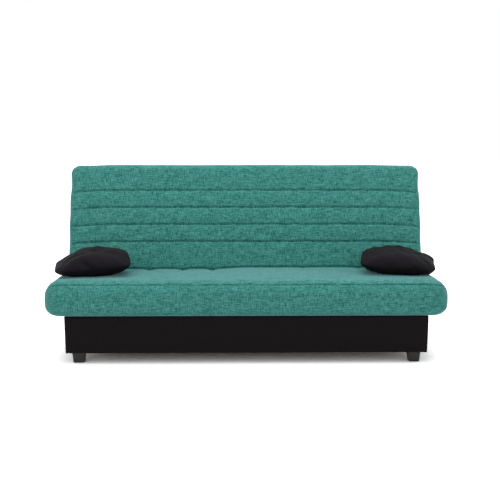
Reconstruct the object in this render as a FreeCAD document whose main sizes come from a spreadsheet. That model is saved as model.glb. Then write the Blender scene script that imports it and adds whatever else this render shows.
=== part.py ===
import FreeCAD, Part
import os
import re
import Sketcher

# A sofa bed whose mattress folds between a seat and a back.  Two steel frames with beech slats
# carry one mattress each way from a pair of ratchet hinges.  The seat frame stands on four
# parallel swing links, which carry it forwards and level while the back lies down behind it.
# The links hang in a lifting frame that tips up on two hinges at the rear of a storage chest.
#
# The frame: +X to the sitter's left, -Y to the front, +Z up, origin on the floor under the
# middle of the whole sofa's box.  Lengths are in millimetres and angles in degrees.

SIZES = [
    # chest: upholstered box on four feet
    ("chest_width", 1737, "outside width of the chest"),
    ("chest_depth", 580, "outside depth of the chest"),
    ("foot_height", 53, "floor to the underside of the chest"),
    ("panel_thick", 18, "front, rear and end panels"),
    ("chest_height", 178, "height of the front and end panels"),
    ("rear_drop", 16, "rear panel below the front one, to clear the lift hinge"),
    ("floor_thick", 6, "floor panel"),
    ("block_size", 70, "side of a corner block"),
    ("block_gap", 20, "corner block to the batten above it"),
    ("cleat_size", 20, "side of the batten that carries a lift rail"),
    ("foot_top", 60, "side of a foot at the chest"),
    ("foot_base", 50, "side of a foot at the floor"),
    ("foot_round", 4, "rounding of a foot's edges"),
    ("foot_inset", 59, "chest face to the middle of a foot"),
    ("bolt_radius", 4, "foot bolt"),
    ("bolt_rise", 60, "foot bolt's reach into a corner block"),
    ("bolt_sink", 25, "foot bolt's reach into a foot"),
    # lifting frame inside the top of the chest
    ("lift_tube", 20, "side of the lifting frame's square tube"),
    ("lift_sink", 11, "lifting frame below the top of the front panel"),
    ("lift_gap", 5, "lifting frame to the chest's inner faces"),
    ("rear_gap", 10, "lifting frame's rear tube to the rear panel"),
    ("tube_wall", 1.5, "wall of every square tube"),
    ("lift_hinge_x", 500, "middle of a lift hinge from the centre line"),
    ("lift_hinge_set", 7, "lift hinge axis behind the rear panel's outer face"),
    ("knuckle_radius", 5, "hinge knuckle"),
    ("lug_reach", 6, "rear panel to the rear of the lug that carries a hinge leaf's knuckles"),
    ("hinge_pin_radius", 2.5, "hinge pin"),
    ("pin_head_radius", 4, "head of a hinge pin"),
    ("leaf_width", 60, "width of a hinge leaf"),
    ("leaf_height", 65, "height of a hinge leaf"),
    ("leaf_thick", 3, "hinge leaf and strap"),
    ("leaf_gap", 0.3, "end gap between hinge knuckles"),
    ("run_gap", 0.05, "radial clearance of a pin that turns in its hole"),
    # swing links
    ("link_length", 170, "lower pivot to upper pivot"),
    ("link_half", 15, "half width of a link"),
    ("link_thick", 5, "links, link plates and seat brackets"),
    ("rest_lean", 58, "a link's lean to the rear with the sofa closed"),
    ("open_lean", 50, "a link's lean to the front with the bed open"),
    ("rear_clear", 17.83, "rear link to the lifting frame's rear tube with the sofa closed"),
    ("front_clear", 6.77, "front link to the lifting frame's front tube with the bed open"),
    ("pin_radius", 6, "pivot pin"),
    ("head_radius", 9, "head and collar of a pivot pin"),
    ("collar_thick", 3.5, "collar between a link and its plate"),
    ("side_gap", 1, "side gap between plates that turn past each other"),
    ("plate_rise", 5, "floor panel to a link plate"),
    ("plate_edge", 8, "link plate's lower edge to the spring's anchor"),
    ("plate_margin", 17, "link plate beyond its pivots at the lower edge"),
    ("plate_flare", 28, "more of the same at the upper edge"),
    # tension springs on the rear links
    ("spring_reach", 120, "lower pivot to the spring's stud on the link"),
    ("anchor_drop", 28, "lower pivot to the spring's anchor"),
    ("spring_pin", 4, "radius of the spring's stud and anchor"),
    ("spring_radius", 7, "outside of the coils"),
    ("spring_bore", 4.5, "inside of the coils"),
    ("spring_eye", 7.5, "outside of an end eye"),
    ("eye_thick", 3, "thickness of an end eye"),
    ("eye_lap", 1.5, "end eye's reach into the coils"),
    # mattress: a seat half and a back half that meet at the crease
    ("crease_set", 29, "crease in front of the chest's rear face"),
    ("back_tilt", 17.2, "back's lean from upright"),
    ("pad_thick", 169, "thickness of the mattress with its cover"),
    ("front_over", 39, "seat's reach in front of the chest"),
    ("side_over", 91.5, "seat's reach beyond each end of the chest"),
    ("back_length", 569, "crease to the top of the back"),
    ("back_inset", 8, "end of the back to the end of the seat"),
    ("hinge_rise", 84, "ratchet hinge above the mattress underside"),
    ("half_gap", 0.3, "each half's clearance at their meeting faces"),
    ("seat_corner", 75, "seat's front corners, seen from above"),
    ("seat_face_round", 70, "rounding at the seat's upper edge"),
    ("seat_base_round", 35, "rounding at the seat's lower edge"),
    ("back_corner", 40, "back's top corners, seen from the front"),
    ("back_face_round", 35, "rounding at the back's front edge"),
    ("back_base_round", 35, "rounding at the back's rear edge"),
    ("hem_width", 42, "cover's hem round the recess for the frame"),
    ("hinge_hem", 12, "the same at the hinge end"),
    ("recess_gap", 3, "clearance between the recess and what lies in it"),
    # bed frames
    ("bed_tube", 25, "side of the bed frames' square tube"),
    ("tube_cover", 5, "mattress underside to the tube"),
    ("slat_count", 14, "slats in each frame"),
    ("slat_margin", 50, "side of a bed frame to the nearest slat"),
    ("slat_width", 50, "width of a slat"),
    ("slat_thick", 8, "thickness of a slat"),
    ("slat_lap", 20, "slat's reach into its holder"),
    ("holder_wall", 3, "holder above, below and beside the slat"),
    ("holder_end", 5, "closed end of a holder"),
    ("bracket_rail", 10, "inner face of a link rail to its seat bracket"),
    ("bumper_side", 14, "side of a rubber bumper"),
    ("bumper_depth", 10.5, "front bumper from front to rear"),
    ("bumper_height", 18, "lifting frame to the seat frame"),
    ("bumper_inset", 4, "bumper from the end of the lift tube it stands on"),
    # ratchet hinges, in a slot inside the mattress ends
    ("arm_thick", 4, "ratchet arm"),
    ("arm_gap", 0.5, "gap between the two arms of a hinge"),
    ("disc_radius", 26, "toothed disc round the hinge pin"),
    ("tooth_count", 24, "teeth round the disc"),
    ("tooth_depth", 2.5, "depth of a tooth"),
    ("arm_half", 13, "half width of an arm where it leaves the disc"),
    ("arm_reach", 95, "crease to the far end of an arm's weld"),
    ("pawl_length", 22, "pawl"),
    ("pawl_width", 10, "pawl"),
    ("pawl_drop", 5, "hinge's centre to the pawl"),
    ("slot_gap", 3, "clearance round the hinge in its slot"),
    ("slot_end", 10, "end of an arm to the end of its slot"),
    # loose pillows
    ("pillow_side", 370, "side of a pillow"),
    ("pillow_thick", 115, "thickness of a pillow"),
    ("pillow_corner", 45, "pillow's corners, seen from above"),
    ("pillow_round", 45, "rounding at the pillow's edges"),
    ("pillow_inset", 185, "middle of a pillow to the end of the seat"),
    ("left_pillow_set", 261, "middle of the left pillow to the crease"),
    ("right_pillow_set", 221, "middle of the right pillow to the crease"),
    ("pillow_yaw", 9.7, "pillow's turn in plan"),
    ("pillow_gap", 0.5, "pillow's clearance over the seat"),
    ("overshoot", 1, "how far a cutting solid passes through what it cuts"),
]

# Places and sizes that follow from the ones above.
DERIVED = {
    "front_top": "(foot_height + chest_height)",
    "rear_top": "(front_top - rear_drop)",
    "lift_top": "(front_top - lift_sink)",
    "lift_base": "(lift_top - lift_tube)",
    "floor_top": "(foot_height + floor_thick)",
    "block_height": "(lift_base - cleat_size - block_gap - floor_top)",
    "inner_x": "(chest_width / 2 - panel_thick)",
    "inner_y": "(chest_depth / 2 - panel_thick)",
    "lift_rear": "(inner_y - rear_gap)",
    "lift_front": "(lift_gap - inner_y)",
    "plate_low": "(floor_top + plate_rise)",
    "pivot_height": "(plate_low + plate_edge + anchor_drop)",
    "rear_pivot": "(lift_rear - lift_tube - rear_clear - link_half - link_length * sin(rest_lean))",
    "front_pivot": "(lift_front + lift_tube + front_clear + link_half + link_length * sin(open_lean))",
    "pivot_span": "(rear_pivot - front_pivot)",
    "crease_y": "(chest_depth / 2 - crease_set)",
    "crease_height": "(lift_top + bumper_height + pad_thick - tube_cover)",
    "hinge_depth": "(pad_thick - hinge_rise)",
    "seat_length": "(crease_y + chest_depth / 2 + front_over)",
    "seat_width": "(chest_width + 2 * side_over)",
    "back_width": "(seat_width - 2 * back_inset)",
    "frame_half": "(back_width / 2 - hem_width - recess_gap)",
    "slat_pitch": "((2 * (frame_half - slat_margin) - slat_width) / (slat_count - 1))",
    "slot_reach": "(arm_reach + slot_end)",
    "pillow_x": "(seat_width / 2 - pillow_inset)",
    "left_pillow_y": "(crease_y - left_pillow_set)",
    "right_pillow_y": "(crease_y - right_pillow_set)",
}

doc = FreeCAD.newDocument("SofaBed")
sheet = doc.addObject("Spreadsheet::Sheet", "Sizes")
for row, (alias, value, meaning) in enumerate(SIZES, start=1):
    sheet.set(f"A{row}", alias)
    sheet.set(f"B{row}", str(value))
    sheet.set(f"C{row}", meaning)
    sheet.setAlias(f"B{row}", alias)
doc.recompute()

ALIAS = re.compile(r"\b(" + "|".join(alias for alias, _, _ in SIZES) + r")\b")
FOLLOWING = re.compile(r"\b(" + "|".join(DERIVED) + r")\b")
NEAR = 0.1  # distance within which a point counts as lying on a face
X_AXIS = FreeCAD.Vector(1, 0, 0)
Y_AXIS = FreeCAD.Vector(0, 1, 0)
Z_AXIS = FreeCAD.Vector(0, 0, 1)
SIDES = (("left", -1), ("right", 1))
NODES = []

# ---- places worked out from the sizes, as expressions ---------------------------------------

# middle of the chest in the sofa's own frame, so that the whole box is centred on the origin
BACK_REAR = (
    "(crease_y + (back_length - back_base_round) * sin(back_tilt)"
    " + (pad_thick - back_base_round) * cos(back_tilt) + back_base_round)"
)
SEAT_FRONT = "(crease_y - seat_length)"
CENTRE_Y = f"(-({BACK_REAR} + {SEAT_FRONT}) / 2)"

HINGE_SETBACK = "(hinge_depth * cos(back_tilt) / (1 + sin(back_tilt)))"
CHEST_FRONT = "(-chest_depth / 2)"
CHEST_REAR = "(chest_depth / 2)"
RAIL_OUT = "(inner_x - lift_gap)"
RAIL_IN = f"({RAIL_OUT} - lift_tube)"
LIFT_AXIS_Y = f"({CHEST_REAR} + lift_hinge_set)"
LIFT_AXIS_Z = "(lift_top + leaf_thick / 2)"

# the plates of the linkage, from the rail towards the middle of the sofa
PLATE_IN = f"({RAIL_IN} - link_thick)"
LINK_OUT = f"({PLATE_IN} - collar_thick - side_gap / 2)"
LINK_IN = f"({LINK_OUT} - link_thick)"
BRACKET_OUT = f"({LINK_IN} - side_gap)"
BRACKET_IN = f"({BRACKET_OUT} - link_thick)"
SPRING_X = f"({BRACKET_IN} - side_gap - spring_radius)"

MIDDLE_LEAN = "((rest_lean - open_lean) / 2)"
HALF_SWING = "((rest_lean + open_lean) / 2)"
SPRING_ACROSS = f"(spring_reach * sin({HALF_SWING}))"
SPRING_ALONG = f"(anchor_drop + spring_reach * cos({HALF_SWING}))"
SPRING_LENGTH = f"sqrt({SPRING_ACROSS} ^ 2 + {SPRING_ALONG} ^ 2)"
SPRING_LEAN = f"({MIDDLE_LEAN} + atan({SPRING_ACROSS} / {SPRING_ALONG}) / 1 deg)"
ANCHOR_Y = f"(rear_pivot - anchor_drop * sin({MIDDLE_LEAN}))"
ANCHOR_Z = f"(pivot_height - anchor_drop * cos({MIDDLE_LEAN}))"
UPPER_Y = "(rear_pivot + link_length * sin(rest_lean))"
UPPER_Z = "(pivot_height + link_length * cos(rest_lean))"

# depths below the mattress face, and widths of the bed frames
TUBE_LOW = "(pad_thick - tube_cover)"
TUBE_TOP = f"({TUBE_LOW} - bed_tube)"
SLAT_LOW = f"({TUBE_TOP} - holder_wall)"
SLAT_TOP = f"({SLAT_LOW} - slat_thick)"
HOLDER_TOP = f"({SLAT_TOP} - holder_wall)"
RECESS_TOP = f"({HOLDER_TOP} - recess_gap)"
HINGE_TUBE = f"(-{HINGE_SETBACK} + hinge_hem + recess_gap)"
ARM_IN = "frame_half"
SEAT_ARM_OUT = f"({ARM_IN} + arm_thick)"
BACK_ARM_IN = f"({SEAT_ARM_OUT} + arm_gap)"
BACK_ARM_OUT = f"({BACK_ARM_IN} + arm_thick)"
SLOT_IN = f"({ARM_IN} - slot_gap - holder_wall)"
SLOT_OUT = f"({BACK_ARM_OUT} + slot_gap + holder_wall)"


def linked(expression):
    """The expression with what follows spelled out and each size's name pointing at its cell."""
    text = str(expression)
    while FOLLOWING.search(text):
        text = FOLLOWING.sub(lambda name: DERIVED[name.group()], text)
    return ALIAS.sub(r"Sizes.\1", text)


def number(expression):
    """The present value of an expression."""
    return float(sheet.evalExpression(linked(expression)))


def bind(item, sizes):
    """Tie properties of an object to expressions."""
    for name, expression in sizes.items():
        item.setExpression(name, linked(expression))


def keep(item, node):
    """Name an object as a finished sub-part."""
    item.Label = node
    NODES.append(item)
    return item


class Frame:
    """Axes that a group of pieces is measured in: an origin and a lean to the rear."""

    def __init__(self, y="0", z="0", lean=None):
        self.y, self.z, self.lean = y, z, lean

    def place(self, item, x, y, z, turned=False):
        """Put an object at local x, y, z.  A turned object keeps the turn it already has."""
        if self.lean is None:
            across, up = f"({y})", f"({z})"
        else:
            across = f"(({y}) * cos({self.lean}) + ({z}) * sin({self.lean}))"
            up = f"(({z}) * cos({self.lean}) - ({y}) * sin({self.lean}))"
            if not turned:
                item.Placement.Rotation.Axis = X_AXIS
                bind(item, {"Placement.Rotation.Angle": f"-{self.lean}"})
        bind(item, {
            "Placement.Base.x": x,
            "Placement.Base.y": f"{CENTRE_Y} + {self.y} + {across}",
            "Placement.Base.z": f"{self.z} + {up}",
        })
        return item


class Half(Frame):
    """One half of the bed.  Run goes from the crease to its far edge, depth from its face down."""

    def __init__(self, name, lean=None):
        super().__init__("crease_y", "crease_height", lean)
        self.name = name
        self.length = f"{name}_length"
        self.width = f"{name}_width"

    def point(self, run, depth):
        """Local y and z of a point."""
        return (depth, run) if self.lean else (f"-({run})", f"-({depth})")

    def block(self, name, x, run, depth):
        """A box between two values of x, of run and of depth."""
        low, high = (run, depth) if self.lean is None else (depth, run)
        if self.lean is None:
            corner = (x[0], f"-({run[1]})", f"-({depth[1]})")
        else:
            corner = (x[0], depth[0], run[0])
        size = (span(*x), span(*low), span(*high))
        return block(name, self, corner, size)

    def tube_across(self, name, run, half):
        """A square tube along X, its lower run given, from one side of the frame to the other."""
        run = (run, f"{run} + bed_tube")
        depth = (TUBE_TOP, TUBE_LOW)
        outer = self.block(name + "_outer", (f"-{half}", half), run, depth)
        bore = self.block(name + "_bore", through(f"-{half}", half), inset(*run), inset(*depth))
        return keep(cut(name + "_tube", outer, bore), name)

    def tube_along(self, name, low_x):
        """A square tube from the hinge tube to the edge tube, its lower x given."""
        x = (low_x, f"{low_x} + bed_tube")
        run = (f"{HINGE_TUBE} + bed_tube", f"{self.edge_tube()}")
        depth = (TUBE_TOP, TUBE_LOW)
        outer = self.block(name + "_outer", x, run, depth)
        bore = self.block(name + "_bore", inset(*x), through(*run), inset(*depth))
        return keep(cut(name + "_tube", outer, bore), name)

    def edge_tube(self):
        """Run at which the tube along the far edge starts."""
        return f"({self.length} - hem_width - recess_gap - bed_tube)"


def span(low, high):
    """Length between two expressions."""
    return f"({high}) - ({low})"


def through(low, high):
    """The same stretch and a little beyond both ends, for a solid that cuts right through."""
    return f"{low} - overshoot", f"{high} + overshoot"


def inset(low, high):
    """The same stretch less a tube's walls."""
    return f"({low}) + tube_wall", f"({high}) - tube_wall"


def to_side(side, low, high):
    """A stretch of x on the left (-1) or on the right (1), lower value first."""
    return (low, high) if side > 0 else (f"-({high})", f"-({low})")


CHEST = Frame()
SEAT = Half("seat")
BACK = Half("back", "back_tilt")
REAR_LINK = Frame("rear_pivot", "pivot_height", "rest_lean")
FRONT_LINK = Frame("front_pivot", "pivot_height", "rest_lean")
SPRING = Frame(ANCHOR_Y, ANCHOR_Z, SPRING_LEAN)


# ---- building blocks ------------------------------------------------------------------------

def block(name, frame, corner, size):
    """A box with its lowest corner and its size along x, y and z."""
    item = doc.addObject("Part::Box", name)
    bind(item, {"Length": size[0], "Width": size[1], "Height": size[2]})
    return frame.place(item, *corner)


def rod(name, frame, radius, x, y, z):
    """A round bar along X between two values of x."""
    item = doc.addObject("Part::Cylinder", name)
    item.Placement.Rotation = FreeCAD.Rotation(Y_AXIS, 90)
    bind(item, {"Radius": radius, "Height": span(*x)})
    return frame.place(item, x[0], y, z, turned=True)


def post(name, frame, radius, x, y, z):
    """A round bar along the frame's Z between two values of z."""
    item = doc.addObject("Part::Cylinder", name)
    bind(item, {"Radius": radius, "Height": span(*z)})
    return frame.place(item, x, y, z[0])


def fuse(name, *items):
    """Solids joined into one."""
    item = doc.addObject("Part::MultiFuse", name)
    item.Shapes = list(items)
    return item


def cut(name, base, *tools):
    """A solid less other solids."""
    item = doc.addObject("Part::Cut", name)
    item.Base = base
    item.Tool = tools[0] if len(tools) == 1 else fuse(name + "_tools", *tools)
    return item


def group(name, items):
    """Separate solids of one kind kept together as one sub-part."""
    item = doc.addObject("Part::Compound", name)
    item.Links = list(items)
    return item


def new_body(name):
    """An empty body."""
    return doc.addObject("PartDesign::Body", name)


def add_sketch(body, outline, holes=(), offset=None):
    """A sketch on the body's YZ plane: a closed outline of points, and round holes.

    Every corner is held by its two distances from the origin, each tied to an expression.
    """
    plane = next(item for item in body.Origin.OriginFeatures if item.Role == "YZ_Plane")
    sketch = body.newObject("Sketcher::SketchObject", body.Name + "_outline")
    sketch.AttachmentSupport = [(plane, "")]
    sketch.MapMode = "FlatFace"
    if offset is not None:
        bind(sketch, {"AttachmentOffset.Base.z": offset})
    corners = [FreeCAD.Vector(number(y), number(z), 0) for y, z in outline]
    for index, corner in enumerate(corners):
        sketch.addGeometry(Part.LineSegment(corner, corners[(index + 1) % len(corners)]))
    for index in range(len(corners)):
        sketch.addConstraint(Sketcher.Constraint("Coincident", index, 2, (index + 1) % len(corners), 1))
    for index, (y, z) in enumerate(outline):
        hold_point(sketch, index, 1, y, z)
    for y, z, radius in holes:
        centre = FreeCAD.Vector(number(y), number(z), 0)
        index = sketch.addGeometry(Part.Circle(centre, FreeCAD.Vector(0, 0, 1), number(radius)))
        hold_point(sketch, index, 3, y, z)
        ring = sketch.addConstraint(Sketcher.Constraint("Radius", index, number(radius)))
        bind(sketch, {f"Constraints[{ring}]": radius})
    return sketch


def hold_point(sketch, item, which, y, z):
    """Hold a sketch point by its distances from the origin."""
    for kind, place in (("DistanceX", y), ("DistanceY", z)):
        rule = sketch.addConstraint(Sketcher.Constraint(kind, -1, 1, item, which, number(place)))
        bind(sketch, {f"Constraints[{rule}]": place})


def add_pad(body, sketch, thick):
    """The sketch drawn out along +X."""
    pad = body.newObject("PartDesign::Pad", body.Name + "_pad")
    pad.Profile = sketch
    bind(pad, {"Length": thick})
    return pad


def add_pocket(body, sketch, thick):
    """The sketch cut away along +X."""
    pocket = body.newObject("PartDesign::Pocket", body.Name + "_pocket")
    pocket.Profile = sketch
    pocket.Reversed = True
    bind(pocket, {"Length": thick})
    return pocket


def add_row(body, features, sketch, pitch, count):
    """Features repeated along X."""
    row = body.newObject("PartDesign::LinearPattern", body.Name + "_row")
    row.Originals = features
    row.Direction = (sketch, ["N_Axis"])
    bind(row, {"Length": f"{pitch} * ({count} - 1)", "Occurrences": count})
    body.Tip = row
    return row


def plate(name, frame, outline, x, holes=()):
    """A flat plate across X with round holes."""
    body = new_body(name)
    add_pad(body, add_sketch(body, outline, holes), span(*x))
    return frame.place(body, x[0], "0", "0")


def round_edges(body, radius, wanted):
    """A fillet on every edge of the body whose middle passes a test on its local place."""
    doc.recompute()
    base = body.Tip
    names = []
    for index, edge in enumerate(base.Shape.Edges, start=1):
        middle = edge.valueAt((edge.FirstParameter + edge.LastParameter) / 2)
        if wanted(middle):
            names.append(f"Edge{index}")
    fillet = body.newObject("PartDesign::Fillet", body.Name + "_round")
    fillet.Base = (base, names)
    bind(fillet, {"Radius": radius})
    return fillet


# ---- storage chest --------------------------------------------------------------------------

def make_chest():
    """Four panels, a floor, corner blocks and the battens that carry the lifting frame."""
    half = "chest_width / 2"
    wall_height = "front_top - foot_height"
    keep(block("front_panel", CHEST, (f"-{half}", CHEST_FRONT, "foot_height"),
               ("chest_width", "panel_thick", wall_height)), "chest_front_panel")
    keep(block("rear_panel", CHEST, (f"-{half}", "inner_y", "foot_height"),
               ("chest_width", "panel_thick", "rear_top - foot_height")), "chest_rear_panel")
    for word, side in SIDES:
        x = to_side(side, "inner_x", half)
        keep(block(f"{word}_panel", CHEST, (x[0], "-inner_y", "foot_height"),
                   ("panel_thick", "2 * inner_y", wall_height)), f"chest_{word}_panel")
        x = to_side(side, "inner_x - cleat_size", "inner_x")
        keep(block(f"{word}_cleat", CHEST, (x[0], "-inner_y", "lift_base - cleat_size"),
                   ("cleat_size", "2 * inner_y", "cleat_size")), f"rail_cleat_{word}")


def foot_places():
    """Name and middle of each foot."""
    for row, end in (("front", -1), ("rear", 1)):
        for word, side in SIDES:
            yield (f"{row}_{word}", f"{side} * (chest_width / 2 - foot_inset)",
                   f"{end} * (chest_depth / 2 - foot_inset)", side, end)


def make_feet():
    """Tapered feet, each held by a bolt that runs up through the floor into a corner block."""
    blocks, bolts, holes = [], [], []
    for word, x, y, side, end in foot_places():
        foot = doc.addObject("Part::Wedge", f"foot_{word}_taper")
        foot.Placement.Rotation = FreeCAD.Rotation(X_AXIS, 90)
        bind(foot, {
            "Ymin": "0", "Ymax": "foot_height",
            "Xmin": "-foot_base / 2", "Xmax": "foot_base / 2",
            "Zmin": "-foot_base / 2", "Zmax": "foot_base / 2",
            "X2min": "-foot_top / 2", "X2max": "foot_top / 2",
            "Z2min": "-foot_top / 2", "Z2max": "foot_top / 2",
        })
        CHEST.place(foot, x, y, "0", turned=True)
        doc.recompute()
        soft = doc.addObject("Part::Fillet", f"foot_{word}_soft")
        soft.Base = foot
        radius = number("foot_round")
        slanted = [index for index, edge in enumerate(foot.Shape.Edges, start=1)
                   if edge.BoundBox.ZLength > NEAR or edge.BoundBox.ZMax < NEAR]
        soft.Edges = [(index, radius, radius) for index in slanted]
        bolt_z = ("foot_height - bolt_sink", "floor_top + bolt_rise")
        bore = post(f"foot_{word}_bore", CHEST, "bolt_radius", x, y, bolt_z)
        keep(cut(f"foot_{word}_bored", soft, bore), f"foot_{word}")
        bolts.append(post(f"bolt_{word}", CHEST, "bolt_radius", x, y, bolt_z))
        block_x = to_side(side, "inner_x - block_size", "inner_x")
        block_y = to_side(end, "inner_y - block_size", "inner_y")
        solid = block(f"block_{word}_solid", CHEST, (block_x[0], block_y[0], "floor_top"),
                      ("block_size", "block_size", "block_height"))
        bore = post(f"block_{word}_bore", CHEST, "bolt_radius", x, y, bolt_z)
        blocks.append(cut(f"block_{word}", solid, bore))
        holes.append(post(f"floor_{word}_hole", CHEST, "bolt_radius", x, y, bolt_z))
    keep(group("blocks", blocks), "chest_corner_blocks")
    keep(group("bolts", bolts), "foot_bolts")
    board = block("floor_board", CHEST, ("-inner_x", "-inner_y", "foot_height"),
                  ("2 * inner_x", "2 * inner_y", "floor_thick"))
    keep(cut("floor", board, *holes), "chest_floor_panel")


def make_lift_hinges():
    """Two hinges behind the rear panel: a fixed leaf, a strap on the lifting frame, and a pin."""
    leaves, straps, pins = [], [], []
    third = "leaf_width / 6"
    for word, side in SIDES:
        middle = f"{side} * lift_hinge_x"
        x_all = (f"{middle} - leaf_width / 2", f"{middle} + leaf_width / 2")
        x_mid = (f"{middle} - {third}", f"{middle} + {third}")
        axis = (LIFT_AXIS_Y, LIFT_AXIS_Z)
        leaf = block(f"{word}_leaf", CHEST, (x_all[0], CHEST_REAR, "rear_top - leaf_height"),
                     ("leaf_width", "leaf_thick", "leaf_height"))
        lug = block(f"{word}_lug", CHEST, (x_all[0], CHEST_REAR, "rear_top - leaf_thick"),
                    ("leaf_width", "lug_reach", f"{LIFT_AXIS_Z} - rear_top + leaf_thick"))
        barrel = rod(f"{word}_barrel", CHEST, "knuckle_radius", x_all, *axis)
        gap = block(f"{word}_gap", CHEST, (f"{x_mid[0]} - leaf_gap", CHEST_REAR, "rear_top"),
                    (f"2 * ({third} + leaf_gap)", "4 * knuckle_radius", "4 * knuckle_radius"))
        bore = rod(f"{word}_leaf_bore", CHEST, "hinge_pin_radius", through(*x_all), *axis)
        leaves.append(cut(f"{word}_fixed_leaf", fuse(f"{word}_leaf_body", leaf, lug, barrel), gap, bore))
        strap = block(f"{word}_strap", CHEST, (x_mid[0], "lift_rear - lift_tube", "lift_top"),
                      (f"2 * {third}", f"{LIFT_AXIS_Y} - lift_rear + lift_tube", "leaf_thick"))
        knuckle = rod(f"{word}_knuckle", CHEST, "knuckle_radius", x_mid, *axis)
        bore = rod(f"{word}_strap_bore", CHEST, "hinge_pin_radius + run_gap", through(*x_mid), *axis)
        straps.append(cut(f"{word}_lift_strap", fuse(f"{word}_strap_body", strap, knuckle), bore))
        shaft = rod(f"{word}_hinge_shaft", CHEST, "hinge_pin_radius",
                    (f"{x_all[0]} - leaf_thick", f"{x_all[1]} + leaf_thick"), *axis)
        heads = [rod(f"{word}_hinge_head_{end}", CHEST, "pin_head_radius", stretch, *axis)
                 for end, stretch in (("a", (f"{x_all[0]} - leaf_thick", x_all[0])),
                                      ("b", (x_all[1], f"{x_all[1]} + leaf_thick")))]
        pins.append(fuse(f"{word}_hinge_pin", shaft, *heads))
    keep(group("fixed_leaves", leaves), "lift_hinge_leaves")
    keep(group("hinge_pins", pins), "lift_hinge_pins")
    keep(group("straps", straps), "lift_hinge_straps")


# ---- lifting frame and linkage --------------------------------------------------------------

def chest_tube(name, node, corner, size, along):
    """A square tube in the chest's frame, open at both ends of the axis it runs along."""
    outer = block(name + "_outer", CHEST, corner, size)
    start = [f"({place}) + tube_wall" for place in corner]
    bore_size = [f"({length}) - 2 * tube_wall" for length in size]
    start[along] = f"({corner[along]}) - overshoot"
    bore_size[along] = f"({size[along]}) + 2 * overshoot"
    bore = block(name + "_bore", CHEST, start, bore_size)
    return keep(cut(name, outer, bore), node)


def make_lift_frame():
    """Two side rails on the battens, a front and a rear tube, and a link plate on each rail."""
    depth = "lift_rear - lift_front"
    for word, side in SIDES:
        x = to_side(side, RAIL_IN, RAIL_OUT)
        chest_tube(f"{word}_rail", f"lift_rail_{word}", (x[0], "lift_front", "lift_base"),
                   ("lift_tube", depth, "lift_tube"), 1)
        x = to_side(side, PLATE_IN, RAIL_IN)
        rear, front = "rear_pivot", "front_pivot"
        high = "(lift_top - tube_wall)"
        outline = [
            (f"{front} - plate_margin", "plate_low"), (f"{rear} + plate_margin", "plate_low"),
            (f"{rear} + plate_margin + plate_flare", "lift_base"),
            (f"{rear} + plate_margin + plate_flare", high),
            (f"{front} - plate_margin - plate_flare", high),
            (f"{front} - plate_margin - plate_flare", "lift_base"),
        ]
        holes = [(rear, "pivot_height", "pin_radius"), (front, "pivot_height", "pin_radius"),
                 (ANCHOR_Y, ANCHOR_Z, "spring_pin")]
        keep(plate(f"{word}_plate", CHEST, outline, x, holes), f"link_plate_{word}")
    for word, y in (("front", "lift_front"), ("rear", "lift_rear - lift_tube")):
        chest_tube(f"{word}_tube", f"lift_{word}_tube", (f"-{RAIL_IN}", y, "lift_base"),
                   (f"2 * {RAIL_IN}", "lift_tube", "lift_tube"), 0)


def make_bumpers():
    """Rubber bumpers on the lifting frame, under the seat's link rails."""
    items = []
    for word, side in SIDES:
        x = to_side(side, f"{BRACKET_IN} - bumper_inset", f"{BRACKET_IN} - bumper_inset + bumper_side")
        for end, y, depth in (("front", "lift_front + lift_tube - bumper_depth", "bumper_depth"),
                              ("rear", "lift_rear - lift_tube + bumper_inset", "bumper_side")):
            items.append(block(f"bumper_{end}_{word}", CHEST, (x[0], y, "lift_top"),
                               ("bumper_side", depth, "bumper_height")))
    keep(group("bumpers", items), "seat_bumpers")


def make_pins():
    """Pivot pins: the lower ones fixed in the link plates, the upper ones in the seat brackets."""
    lower, upper, anchors = [], [], []
    for word, side in SIDES:
        for end, frame in (("rear", REAR_LINK), ("front", FRONT_LINK)):
            name = f"{end}_{word}"
            shaft = rod(f"lower_shaft_{name}", frame, "pin_radius",
                        to_side(side, f"{LINK_IN} - side_gap / 2 - collar_thick", RAIL_IN), "0", "0")
            collar = rod(f"lower_collar_{name}", frame, "head_radius",
                         to_side(side, f"{LINK_OUT} + side_gap / 2", PLATE_IN), "0", "0")
            head = rod(f"lower_head_{name}", frame, "head_radius",
                       to_side(side, f"{LINK_IN} - side_gap / 2 - collar_thick",
                               f"{LINK_IN} - side_gap / 2"), "0", "0")
            lower.append(fuse(f"lower_pin_{name}", shaft, collar, head))
            shaft = rod(f"upper_shaft_{name}", frame, "pin_radius",
                        to_side(side, f"{BRACKET_IN} - collar_thick", f"{PLATE_IN} - side_gap"),
                        "0", "link_length")
            head = rod(f"upper_head_{name}", frame, "head_radius",
                       to_side(side, f"{BRACKET_IN} - collar_thick", BRACKET_IN), "0", "link_length")
            cap = rod(f"upper_cap_{name}", frame, "head_radius",
                      to_side(side, f"{LINK_OUT} + side_gap / 2", f"{PLATE_IN} - side_gap"),
                      "0", "link_length")
            upper.append(fuse(f"upper_pin_{name}", shaft, head, cap))
        anchors.append(rod(f"anchor_{word}", CHEST, "spring_pin",
                           to_side(side, f"{SPRING_X} - spring_radius", RAIL_IN), ANCHOR_Y, ANCHOR_Z))
    keep(group("lower_pins", lower), "lower_pivot_pins")
    keep(group("upper_pins", upper), "upper_pivot_pins")
    keep(group("anchors", anchors), "spring_anchor_pins")


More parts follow.
